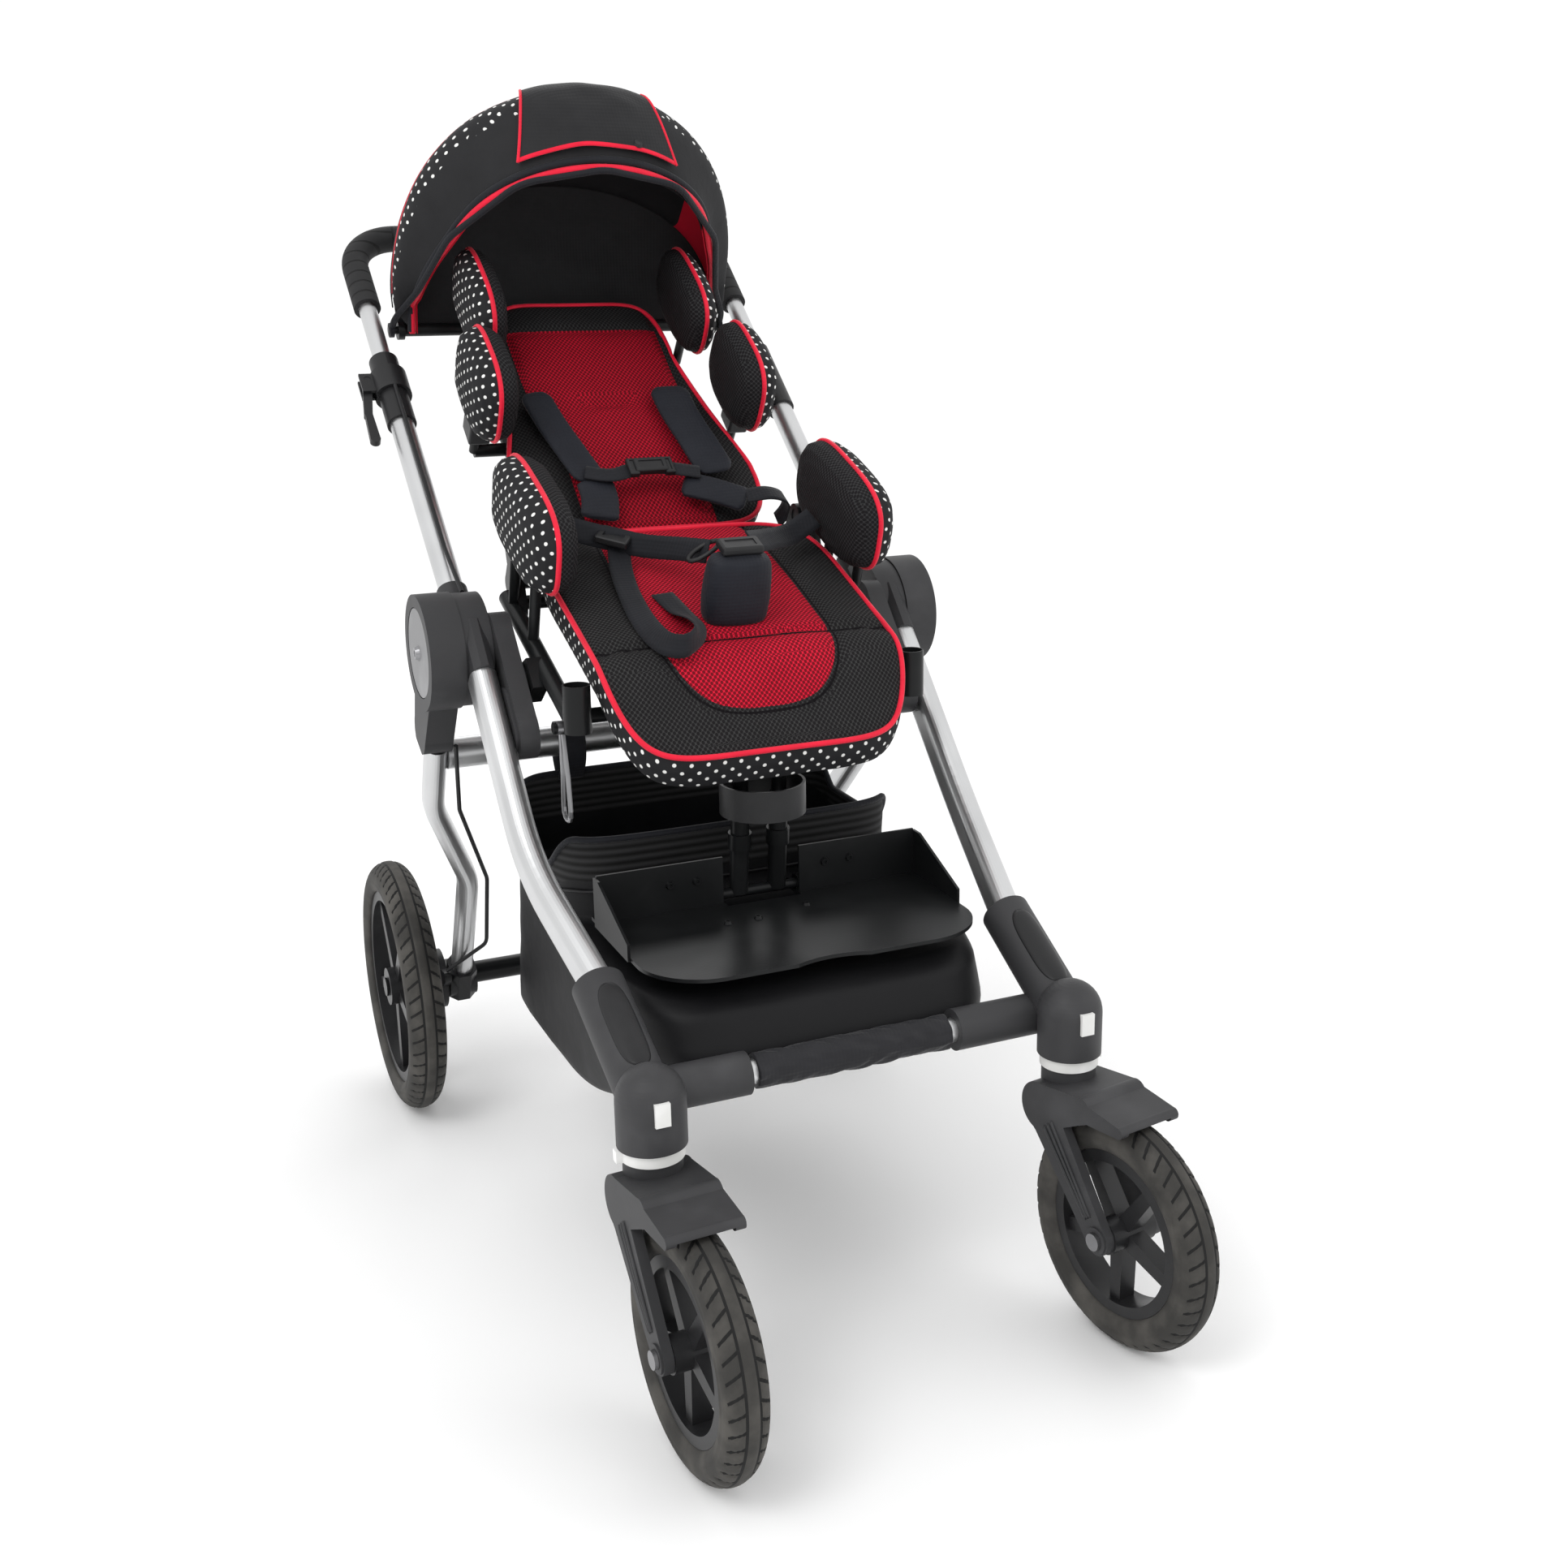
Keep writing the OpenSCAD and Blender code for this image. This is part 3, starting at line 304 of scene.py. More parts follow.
def tyre_look(name, pitches):
    look = Look(name, (0.03, 0.028, 0.026), 0.72, Specular_IOR_Level=0.3)
    dust = look.noise(scale=22, detail=5)
    u, v = look.axes(SEWN)[:2]
    lean = (v - 0.5).size() * 360
    wave = (u * pitches + lean * BLOCK_SLANT + (v > 0.5) * 0.5).fract()
    slots = (lean > GROOVE_TO) * (lean < BLOCKS_TO) * (wave < 0.2)
    groove = slots.most((lean > GROOVE_FROM - 0.5) * (lean < GROOVE_TO + 0.5))
    rubber = look.tint(dust.soft(0.35, 0.75), (0.034, 0.0325, 0.03), (0.088, 0.083, 0.075))
    # The round groove and the slots between blocks are painted near black, as painted shade in
    # the cuts
    look.set("Base Color", look.tint(groove, rubber, (0.009, 0.009, 0.009)))
    look.set("Roughness", 0.62 + dust * 0.25)
    look.bump(look.noise(scale=500, detail=3), strength=0.2, depth=0.0006)
    return look


# Rings run round the grip, along its arms and across its top
GRIP_ARM_X = 0.19
GRIP_SLOPE_Y, GRIP_SLOPE_Z = 0.7826, 0.6225
GRIP_RING = 0.019


def grip_look():
    look = Look("grip rubber", (0.014, 0.014, 0.015), 0.7, Specular_IOR_Level=0.3)
    x, y, z = look.axes()
    arm = x.size() > GRIP_ARM_X
    run = (y * GRIP_SLOPE_Y + z * GRIP_SLOPE_Z) * arm + x * (1 - arm)
    ring = (run / GRIP_RING).fract().soft(0.2, 0.08)
    cloud = look.noise(scale=60, detail=3)
    rubber = look.tint(cloud, (0.01, 0.01, 0.011), (0.022, 0.022, 0.023))
    # The grooves between the rings are painted near black, as painted shade
    look.set("Base Color", look.tint(ring, rubber, (0.003, 0.003, 0.003)))
    look.bump((1 - ring) + cloud * 0.2, strength=0.6, depth=0.0015)
    return look


silver = metal_look("satin silver tube", (0.66, 0.665, 0.67), 0.34)
wire_steel = metal_look("dark steel wire", (0.3, 0.3, 0.31), 0.35)
grey_plastic = plastic_look("grey moulded plastic", (0.035, 0.035, 0.037), 0.52)
black_plastic = plastic_look("black moulded plastic", (0.012, 0.012, 0.013), 0.42)
rim_plastic = plastic_look("wheel plastic", (0.014, 0.014, 0.015), 0.38)
white_plastic = plastic_look("white plastic", (0.72, 0.72, 0.7), 0.4, strength=0.04)
cap_plastic = plastic_look("pale grey cap", (0.2, 0.2, 0.205), 0.45, strength=0.04)
black_paint = plastic_look(
    "black powder coat", (0.007, 0.0075, 0.008), 0.33, grain_size=350, strength=0.1, shine=0.2
)
grip_foam = grip_look()
cable_skin = plastic_look("cable skin", (0.01, 0.01, 0.011), 0.45)
tyre_rubber = tyre_look("front tyre rubber", FRONT_PITCHES)
rear_rubber = tyre_look("rear tyre rubber", REAR_PITCHES)
dotted = dotted_look()
black_mesh = mesh_look("black spacer mesh", (0.024, 0.024, 0.025))
piping_red = cloth_look("red piping", RED, 0.55, sheen=0.1)
red_cloth = cloth_look("red cloth", RED, 0.75, sheen=0.1)
hood_cloth = cloth_look("black hood cloth", COAL, 0.7)
webbing = cloth_look("black webbing", INK, 0.7)
pommel_cloth = cloth_look("navy pommel cloth", (0.005, 0.006, 0.01), 0.6)
sleeve_cloth = cloth_look("black sleeve cloth", (0.01, 0.01, 0.012), 0.55, sheen=0.1)

finishes = {
    "silver_tube": silver,
    "grey_plastic": grey_plastic,
    "black_plastic": black_plastic,
    "white_plastic": white_plastic,
    "tyre_rubber": tyre_rubber,
    "grip_rubber": grip_foam,
    "black_fabric": hood_cloth,
    "cushion_mesh": black_mesh,
    "dotted_fabric": dotted,
    "black_leathercloth": pommel_cloth,
    "black_paint": black_paint,
    "light_cap": cap_plastic,
    "steel_wire": wire_steel,
}
for part in frame["record"]["subparts"]:
    shape = nodes[part["node"]]
    look = finishes[part["material_slot"]]
    if "rim" in part["node"]:
        look = rim_plastic
    if "cable" in part["node"]:
        look = cable_skin
    if part["node"] == "hood_bow":
        look = webbing
    shape.data.materials.clear()
    shape.data.materials.append(look.material)

# Making pieces: all measures are in millimetres until a mesh is filled
WELD_GAP = 2e-5
BELT_THICK = 1.6
BELT_WIDTH, LOOSE_WIDTH, CHEST_WIDTH, LOOP_WIDTH = 26, 25, 20, 30


def ease(t):
    t = min(max(t, 0.0), 1.0)
    return t * t * (3 - 2 * t)


# A row of a table between two stops; the first column is the stop
def along(stops, t):
    for (t0, *a), (t1, *b) in zip(stops, stops[1:]):
        if t <= t1:
            s = (t - t0) / (t1 - t0)
            return [p + (q - p) * s for p, q in zip(a, b)]
    return list(stops[-1][1:])


def rumple(p, size, depth):
    return depth * noise.noise(Vector(p) / size)


# A groove pressed in along a seam
def seam_dip(off, width, depth):
    return exp(-((off / width) ** 2)) * depth


def keep(name, bm, looks, body, smooth=True):
    mesh = bpy.data.meshes.new(name)
    for face in bm.faces:
        face.smooth = smooth
    bm.to_mesh(mesh)
    bm.free()
    piece = bpy.data.objects.new(name, mesh)
    scene.collection.objects.link(piece)
    for look in looks:
        mesh.materials.append(look.material)
    if body:
        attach(piece, body)
    return piece


# A sheet of quads over u and v, put in place point by point
def skin(nu, nv, place, tone=None, weld=False, fill=False, lay=None):
    bm = bmesh.new()
    bmesh.ops.create_grid(bm, x_segments=nu, y_segments=nv, size=1)
    layer = bm.loops.layers.uv.new("weave")
    for face in bm.faces:
        for loop in face.loops:
            spot = ((loop.vert.co.x + 1) / 2, (loop.vert.co.y + 1) / 2)
            loop[layer].uv = lay(*spot) if lay else spot
        if tone:
            mid = face.calc_center_median()
            face.material_index = tone((mid.x + 1) / 2, (mid.y + 1) / 2)
    for vert in bm.verts:
        vert.co = Vector(place((vert.co.x + 1) / 2, (vert.co.y + 1) / 2)) * MM
    if weld:
        bmesh.ops.remove_doubles(bm, verts=bm.verts, dist=WELD_GAP)
    if fill:
        rim = [edge for edge in bm.edges if edge.is_boundary]
        bmesh.ops.holes_fill(bm, edges=rim, sides=0)
    bmesh.ops.recalc_face_normals(bm, faces=bm.faces)
    return bm


def walls(piece, thick, offset=0.0):
    shell = piece.modifiers.new("thickness", "SOLIDIFY")
    shell.thickness = thick * MM
    shell.offset = offset


# A smooth curve through given points
def trace(points, count, closed=False):
    p = [Vector(q) for q in points]
    n = len(p)
    out = []
    spans = n if closed else n - 1
    for k in range(count + (0 if closed else 1)):
        s = spans * k / count
        i = min(int(s), spans - 1)
        t = s - i
        if closed:
            a, b, c, d = p[(i - 1) % n], p[i % n], p[(i + 1) % n], p[(i + 2) % n]
        else:
            a, b, c, d = p[max(i - 1, 0)], p[i], p[i + 1], p[min(i + 2, n - 1)]
        square = (2 * a - 5 * b + 4 * c - d) * t * t
        cube = (3 * b - a - 3 * c + d) * t ** 3
        out.append(0.5 * (2 * b + (c - a) * t + square + cube))
    return out


# Each point of a path with two directions across it
def frames(path, closed):
    n = len(path)
    rows = []
    side = None
    for k in range(n):
        before = path[(k - 1) % n] if closed else path[max(k - 1, 0)]
        after = path[(k + 1) % n] if closed else path[min(k + 1, n - 1)]
        ahead = (after - before).normalized()
        if side is None:
            side = ahead.orthogonal()
        side = (side - ahead * side.dot(ahead)).normalized()
        rows.append((path[k], side, ahead.cross(side)))
    return rows


def tube(name, points, radius, look, body, count, closed=False, sides=10):
    rows = frames(trace(points, count, closed), closed)
    rows = rows + rows[:1] if closed else rows

    def place(u, v):
        centre, side, up = rows[round(v * (len(rows) - 1))]
        return centre + (side * cos(ROUND * u) + up * sin(ROUND * u)) * radius

    bm = skin(sides, len(rows) - 1, place, weld=True, fill=not closed)
    return keep(name, bm, [look], body)


# The way a path heads at a point, and the direction across it nearest to a given one
def heading(path, k, side):
    ahead = (path[min(k + 1, len(path) - 1)] - path[max(k - 1, 0)]).normalized()
    return ahead, (side - ahead * side.dot(ahead)).normalized()


# A flat strap of webbing: points, and for each the direction across it
def strap(name, points, across, width, body):
    count = 8 * len(points)
    path = trace(points, count)
    many = isinstance(across, list)
    sides = trace(across, count) if many else [Vector(across)] * len(path)

    def place(u, v):
        k = round(v * (len(path) - 1))
        return path[k] + heading(path, k, sides[k])[1] * (u - 0.5) * width

    piece = keep(name, skin(4, len(path) - 1, place), [webbing], body)
    walls(piece, BELT_THICK)
    return piece


# Scales a shape to metres, turns it and moves it to its spot
def settle(bm, spot, turn):
    where = Matrix.Scale(MM, 4) @ Matrix.Translation(spot) @ turn
    bmesh.ops.transform(bm, matrix=where, verts=bm.verts)


# A bevelled block of hard plastic with a sunk face, set in a frame of three directions
def block(name, mid, across, up, size, body, bevel, sink=1.2):
    x = Vector(across).normalized()
    z = (Vector(up) - x * Vector(up).dot(x)).normalized()
    turn = Matrix((x, z.cross(x), z)).transposed().to_4x4()
    bm = bmesh.new()
    bmesh.ops.create_cube(bm, size=1)
    bmesh.ops.scale(bm, vec=size, verts=bm.verts)
    bmesh.ops.bevel(
        bm, geom=bm.edges[:], offset=bevel, segments=3, profile=0.5, affect="EDGES",
        clamp_overlap=True, material=-1,
    )
    bm.normal_update()
    level = [face for face in bm.faces if face.normal.z > 0.99]
    top = [max(level, key=lambda face: face.calc_area())]
    bmesh.ops.inset_region(bm, faces=top, thickness=min(size[:2]) * 0.2, depth=0)
    bmesh.ops.inset_region(bm, faces=top, thickness=0.6, depth=-sink)
    settle(bm, mid, turn)
    bmesh.ops.recalc_face_normals(bm, faces=bm.faces)
    keep(name, bm, [black_plastic], body, smooth=False)


# A low cone, with its top face to be sunk
def stud(radius, top_radius, depth, segments):
    bm = bmesh.new()
    bmesh.ops.create_cone(
        bm, cap_ends=True, segments=segments, radius1=radius, radius2=top_radius, depth=depth
    )
    return bm, [face for face in bm.faces if len(face.verts) > 4 and face.normal.z > 0.9]


def facing_turn(way):
    return Vector(way).to_track_quat("Z", "Y").to_matrix().to_4x4()


# Frames of the seat and the back, as in the solids: pitch, and the hinge's y and z
SEAT = radians(20)
SEAT_Y, SEAT_Z = -53, 700
BACK = radians(38.5)
BACK_Y, BACK_Z = 125, 765


def seat_at(x, v, w):
    y = SEAT_Y + v * cos(SEAT) - w * sin(SEAT)
    return Vector((x, y, SEAT_Z + v * sin(SEAT) + w * cos(SEAT)))


def back_at(x, y, z):
    run = BACK_Y + z * cos(BACK) + y * sin(BACK)
    return Vector((x, run, BACK_Z + z * sin(BACK) - y * cos(BACK)))


# A direction given in the seat's or the back's frame
def way(on, *steps):
    return on(*steps) - on(0, 0, 0)


def power(v, e):
    return abs(v) ** e if v >= 0 else -(abs(v) ** e)


# A rounded plan: half width, half length, how square, and how far the sides pull in
def plan(a, half_w, half_l, square, pull):
    x = half_w * power(cos(a), 2 / square)
    y = half_l * power(sin(a), 2 / square)
    return x * (1 - pull * (1 - (y / half_l) ** 2)), y * (1 - pull * (1 - (x / half_w) ** 2))


# Length round an outline, from its start to a share of the way
def girth(outline, count):
    spots = [Vector(outline(ROUND * k / count)) for k in range(count + 1)]
    marks = [0.0]
    for a, b in zip(spots, spots[1:]):
        marks.append(marks[-1] + (b - a).length * MM)
    return lambda u: marks[round(u * count)]


# A cushion's cover: mesh on top, dots round the side, plain cloth underneath
TOP_END, SIDE_END = 0.5, 0.755
CUSHION_STEPS = 160
PIPING_POINTS = 72
PIPING_RADIUS = 3


def cover_part(u, v):
    return 0 if v < TOP_END else 1 if v < SIDE_END else 2


def make_cushion(name, place, point, on, rings, rows, face, body, rim):
    round_it = girth(lambda a: point(a, 1, 0), CUSHION_STEPS)

    def lay(u, v):
        return round_it(u), along(rings, v)[1] * MM

    bm = skin(CUSHION_STEPS, rows, place, tone=cover_part, weld=True, lay=lay)
    piece = keep(name + "_cushion_cover", bm, [face, dotted, hood_cloth], body)
    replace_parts(piece, name + "_cushion")
    loop = [on(*point(ROUND * k / PIPING_POINTS, *rim)) for k in range(PIPING_POINTS)]
    tube(
        name + "_piping", loop, PIPING_RADIUS, piping_red, body,
        count=3 * PIPING_POINTS, closed=True,
    )


# Seat cushion, with a red oval at its middle
SEAT_MID = -8
SEAT_HALF_W, SEAT_HALF_L = 171, 193
SEAT_SEAM = -70
OVAL_MID = -38
OVAL_HALF_W, OVAL_FRONT, OVAL_BACK = 97, 114, 330
# Share of the way over the cover, share of the plan, height
SEAT_RINGS = [
    (0.0, 0.0, 8), (0.2, 0.45, 7.4), (0.36, 0.8, 5.4), (0.46, 0.95, 2.2), (0.5, 0.985, -1),
    (0.53, 1.0, -4), (0.6, 1.01, -16), (0.68, 1.0, -30), (0.72, 0.985, -38),
    (0.76, 0.955, -42.6), (0.84, 0.7, -43), (1.0, 0.0, -43),
]


# The front edge rolls down behind the knees
ROLL_DROP, ROLL_FROM, ROLL_RUN = 54, 85, 115
# and is a little narrower than the rest
FRONT_NARROWS, NARROW_FROM, NARROW_RUN = 0.07, 90, 100


def seat_drop(v):
    return -ROLL_DROP * ease((-v - ROLL_FROM) / ROLL_RUN)


def seat_point(a, share, height):
    x, y = plan(a, SEAT_HALF_W, SEAT_HALF_L, square=5, pull=0.02)
    x, y = x * share, y * share
    narrow = 1 - FRONT_NARROWS * ease((-y - NARROW_FROM) / NARROW_RUN)
    v = y + SEAT_MID
    return x * narrow, v, height + seat_drop(v)


def seat_oval(x, v):
    reach = OVAL_FRONT if v < OVAL_MID else OVAL_BACK
    return (abs(x / OVAL_HALF_W) ** 3 + abs((v - OVAL_MID) / reach) ** 3) ** (1 / 3)


def seat_colour(look):
    x, y, z = look.axes()
    v = (y - SEAT_Y * MM) * cos(SEAT) + (z - SEAT_Z * MM) * sin(SEAT)
    front = v - OVAL_MID * MM
    reach = OVAL_FRONT * MM + (front > 0) * ((OVAL_BACK - OVAL_FRONT) * MM)
    across, back = (x / (OVAL_HALF_W * MM)).size(), (front / reach).size()
    oval = across * across * across + back * back * back
    cloud = look.noise(scale=25, detail=2)
    red = look.tint(cloud, RED, BRIGHT_RED)
    dark = look.tint(cloud, (0.026, 0.026, 0.026), (0.042, 0.042, 0.042))
    round_stitch = (oval - 1.12).size() < 0.035
    stitch = round_stitch.most((v - SEAT_SEAM * MM).size() < 0.0016)
    return look.tint(stitch, look.tint(oval < 1, dark, red), (0.004, 0.003, 0.004))


def seat_place(u, v):
    share, height = along(SEAT_RINGS, v)
    x, run, w = seat_point(ROUND * u, share, height)
    if v < TOP_END:
        seam = seam_dip(run - SEAT_SEAM, width=7, depth=6.5)
        edge = (seat_oval(x, run) - 1.03) * OVAL_HALF_W
        seam = max(seam, seam_dip(edge, width=6, depth=4.6))
        w += -seam + rumple((x, run, 0), size=55, depth=1.6) * (1 - v * 1.6)
    elif v < 0.76:
        w += rumple((x, run, w), size=40, depth=1.2)
    return seat_at(x, run, w)


make_cushion(
    "seat", seat_place, seat_point, seat_at, SEAT_RINGS, rows=76,
    face=mesh_look("seat spacer mesh", seat_colour), body="seat", rim=(0.995, -1),
)

# Back cushion, with a red panel up its middle
BACK_LEN = 405
BACK_HALF_W, BACK_NARROWS = 155, 44
TAPER_FROM, TAPER_RUN = 70, 230
BACK_FOOT = 18
BACK_FACE = 28.7
RED_HALF, RED_WIDENS = 80, 18
WIDENS_FROM, WIDENS_TO = 160, 250
RED_TOP = 365
WAIST_SEAM, HEAD_SEAM = 230, 362
BACK_RINGS = [
    (0.0, 0.0, 7), (0.2, 0.45, 6.6), (0.36, 0.8, 4.6), (0.46, 0.95, 1.6), (0.5, 0.985, -2),
    (0.54, 1.0, -6), (0.62, 1.0, -18), (0.7, 0.99, -32), (0.76, 0.95, -41), (0.84, 0.7, -41.5),
    (1.0, 0.0, -41.5),
]


def back_half(d):
    return BACK_HALF_W - BACK_NARROWS * ease((d - TAPER_FROM) / TAPER_RUN)


def back_point(a, share, height):
    x, y = plan(a, 1, BACK_LEN / 2 - 1, square=6, pull=0.012)
    d = y * share + BACK_FOOT + BACK_LEN / 2
    return x * share * back_half(d - BACK_FOOT), BACK_FACE - height, d


def back_colour(look):
    x, y, z = look.axes()
    d = (y - BACK_Y * MM) * cos(BACK) + (z - BACK_Z * MM) * sin(BACK)
    half = RED_HALF * MM + d.soft(WIDENS_FROM * MM, WIDENS_TO * MM) * (RED_WIDENS * MM)
    red_zone = (x.size() < half) * (d < RED_TOP * MM)
    cloud = look.noise(scale=25, detail=2)
    red = look.tint(cloud, DEEP_RED, RED)
    dark = look.tint(cloud, (0.02, 0.02, 0.02), (0.032, 0.032, 0.032))
    return look.tint(red_zone, dark, red)


def back_place(u, v):
    share, height = along(BACK_RINGS, v)
    x, y, d = back_point(ROUND * u, share, height)
    if v < TOP_END:
        half = RED_HALF + RED_WIDENS * ease((d - WIDENS_FROM) / (WIDENS_TO - WIDENS_FROM))
        seam = max(
            seam_dip(d - WAIST_SEAM, width=8, depth=8),
            seam_dip(d - HEAD_SEAM, width=6, depth=4),
            seam_dip(abs(x) - half, width=5, depth=3.6),
        )
        y += seam - rumple((x, d, 3), size=60, depth=1.8) * (1 - v * 1.6)
    return back_at(x, y, d)


make_cushion(
    "back", back_place, back_point, back_at, BACK_RINGS, rows=72,
    face=mesh_look("back spacer mesh", back_colour), body="back", rim=(0.992, -2),
)

# Side pads: a mesh dome to the rider, a dotted dome outside and piping round the rim between
PAD_RINGS = [
    (0.0, 0.0, -0.5), (0.1, 0.35, -0.494), (0.2, 0.66, -0.458), (0.3, 0.87, -0.37),
    (0.4, 0.97, -0.228), (0.47, 1.0, -0.07), (0.5, 1.005, 0.0), (0.53, 1.0, 0.07),
    (0.6, 0.97, 0.228), (0.7, 0.87, 0.37), (0.8, 0.66, 0.458), (0.9, 0.35, 0.494),
    (1.0, 0.0, 0.5),
]
PAD_ROWS = 60
PAD_PULL = 0.02
PAD_PUFF = 1.6
PAD_POINTS = 48


def make_pad(name, body, at, on, side, half_size, thick, lean, square):
    tilt = radians(lean)
    long, wide = half_size
    mean = (long + wide) / 2
    rings = [along(PAD_RINGS, k / PAD_ROWS) for k in range(PAD_ROWS + 1)]
    slack = [0.0]
    for (share, level), (last, before) in zip(rings[-2::-1], rings[:0:-1]):
        run = abs(share - last) * mean
        slack.append(slack[-1] + hypot(run, (level - before) * thick) - run)

    def local(a, share, level, puff=0.0):
        p, q = plan(a, long, wide, square, PAD_PULL)
        p, q = p * share, q * share
        down = p * cos(tilt) - q * sin(tilt)
        run = p * sin(tilt) + q * cos(tilt)
        return on(side * (at[0] + level * thick + puff), at[1] + run, at[2] - down)

    def place(u, v):
        share, level = along(PAD_RINGS, v)
        a = ROUND * u
        spot = Vector((3 * cos(a) * share, 3 * sin(a) * share, side * 4 + v))
        puff = noise.noise(spot) * PAD_PUFF * (1 - share * 0.5)
        return local(a, share, level, puff)

    # The dots are laid out flat from the middle of the outer dome
    def lay(u, v):
        p, q = plan(ROUND * u, long, wide, square, PAD_PULL)
        grow = along(PAD_RINGS, v)[0] + slack[PAD_ROWS - round(v * PAD_ROWS)] / hypot(p, q)
        return p * grow * MM, q * grow * MM

    bm = skin(96, PAD_ROWS, place, tone=lambda u, v: 0 if v < 0.5 else 1, weld=True, lay=lay)
    piece = keep(name + "_cover", bm, [black_mesh, dotted], body)
    loop = [local(ROUND * k / PAD_POINTS, 1.004, 0.02) for k in range(PAD_POINTS)]
    tube(
        name + "_piping", loop, 2.9, piping_red, body,
        count=3 * PAD_POINTS, closed=True,
    )
    return piece


for side, word in SIDES:
    hip = word + "_hip_pad"
    pad = make_pad(
        hip, "seat", (181, 104, 60), seat_at, side,
        half_size=(52, 100), thick=61, lean=0, square=3.0,
    )
    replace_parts(pad, hip)
    chest = word + "_thoracic_pad"
    pad = make_pad(
        chest, "back", (160, -25, 218), back_at, side,
        half_size=(71, 53), thick=56, lean=-6, square=2.8,
    )
    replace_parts(pad, chest)
wings = [
    make_pad(
        word + "_head_wing", "back", (133, -18, 368), back_at, side,
        half_size=(78, 47), thick=46, lean=-6, square=2.8,
    )
    for side, word in SIDES
]
for wing in wings:
    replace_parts(wing, "headrest")

# Pommel
POMMEL_HALF_W, POMMEL_HALF_L = 36, 20
POMMEL_MID, POMMEL_TOP = -36, 75
POMMEL_BOW = 0.0016
POMMEL_RINGS = [
    (0.0, 0.0, 8.5), (0.18, 0.6, 7.8), (0.3, 0.86, 4.5), (0.38, 0.95, -2), (0.5, 1.0, -18),
    (0.7, 1.03, -42), (0.86, 0.99, -62), (0.93, 0.93, -67.8), (1.0, 0.0, -67.8),
]


def make_pommel():
    def place(u, v):
        share, height = along(POMMEL_RINGS, v)
        x, y = plan(ROUND * u, POMMEL_HALF_W, POMMEL_HALF_L, square=3, pull=0)
        x, y = x * share, y * share
        top = POMMEL_TOP + height + rumple((x, y, height), size=25, depth=0.8)
        return seat_at(x, y + POMMEL_MID + POMMEL_BOW * x * x, top)

    bm = skin(64, 36, place, weld=True)
    piece = keep("pommel_cover", bm, [pommel_cloth], "seat")
    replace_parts(piece, "pommel")


make_pommel()

# Hood: the sheet follows the same sweep as its solid
HOOD = back_at(0, 80, 434)
HOOD_HALF_W = 217
HOOD_FRONT_TURN, HOOD_SWEEP = 139, 51
HOOD_REACH, HOOD_CROWN, HOOD_TUCK = 284, 38, 106
HOOD_WAIST, HOOD_BULGE, HOOD_SQUARE = 0.1, 0.08, 0.25
HOOD_LIFT_Y, HOOD_LIFT_Z = 3.1, 3.5
# A short skirt hangs below each pivot
SKIRT = 0.06
SKIRT_DROP = 36
SKIRT_GATHER = 0.45
FIRST_ANGLE = 9
# Shares of the way back over the hood
DOTS_FROM, DOTS_TO, STRIPE_TO = 0.31, 0.46, 0.53


def hood_reach(t):
    crown = HOOD_CROWN * sin(pi * min(t / 0.9, 1))
    return HOOD_REACH + crown - HOOD_TUCK * ease((t - 0.35) / 0.65)


# t runs from the front edge to the rear one, a across from side to side
def hood_at(t, a, out=0.0):
    turn = radians(HOOD_FRONT_TURN - HOOD_SWEEP * t)
    reach = hood_reach(t) + out
    low, high = ease(sin(a) / 0.2), ease((sin(a) - 0.5) / 0.45)
    narrow = 1 - HOOD_WAIST * (1 - ease(t / 0.35)) * low * (1 - high)
    wide = 1 + HOOD_BULGE * sin(pi * t) * sin(a)
    rise = reach * sin(a) ** (1 - HOOD_SQUARE * ease(t / 0.5))
    return Vector(
        (
            (HOOD_HALF_W + out) * cos(a) * narrow * wide,
            HOOD.y + HOOD_LIFT_Y + rise * cos(turn),
            HOOD.z + HOOD_LIFT_Z + rise * sin(turn),
        )
    )


def hood_panels():
    look = Look("hood panels", COAL, 0.75, Specular_IOR_Level=0.3)
    v = look.axes(SEWN)[1]
    cloud = look.noise(scale=30, detail=4)
    black = look.tint(cloud, (0.008, 0.008, 0.009), (0.016, 0.016, 0.018))
    strip = look.tint(look.spots(DOT_PITCH, DOT_RADIUS), black, DOT_WHITE)
    colour = look.tint((v > DOTS_FROM) * (v < DOTS_TO), black, strip)
    red = look.tint(cloud, DEEP_RED, RED)
    look.set("Base Color", look.tint((v > DOTS_TO) * (v < STRIPE_TO), colour, red))
    crease = look.noise(scale=12, detail=4) + look.noise(scale=60, detail=3) * 0.4
    look.bump(crease, strength=0.4, depth=0.004)
    return look


def lining_panels():
    look = Look("hood lining", COAL, 0.8, Specular_IOR_Level=0.2)
    u = look.axes(SEWN)[0]
    cloud = look.noise(scale=30, detail=4)
    red_side = (u - 0.5).size() > 0.27
    black = look.tint(cloud, (0.005, 0.005, 0.006), (0.011, 0.011, 0.012))
    look.set("Base Color", look.tint(red_side, black, look.tint(cloud, DEEP_RED, RED)))
    look.bump(look.noise(scale=14, detail=4), strength=0.4, depth=0.004)
    return look


def hood_blend(piece):
    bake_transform(piece)


# Across the hood from the end of one skirt to the end of the other
def hood_span(u, t, out=0.0):
    first = radians(FIRST_ANGLE)
    share = min(max((u - SKIRT) / (1 - 2 * SKIRT), 0), 1)
    spot = hood_at(t, first + (pi - 2 * first) * share, out)
    hang = max(SKIRT - u, u - 1 + SKIRT, 0) / SKIRT
    back = (HOOD.y - 10 - spot.y) * SKIRT_GATHER * hang
    return spot + Vector((0, back, -SKIRT_DROP * hang * (1 - SKIRT_GATHER * t)))


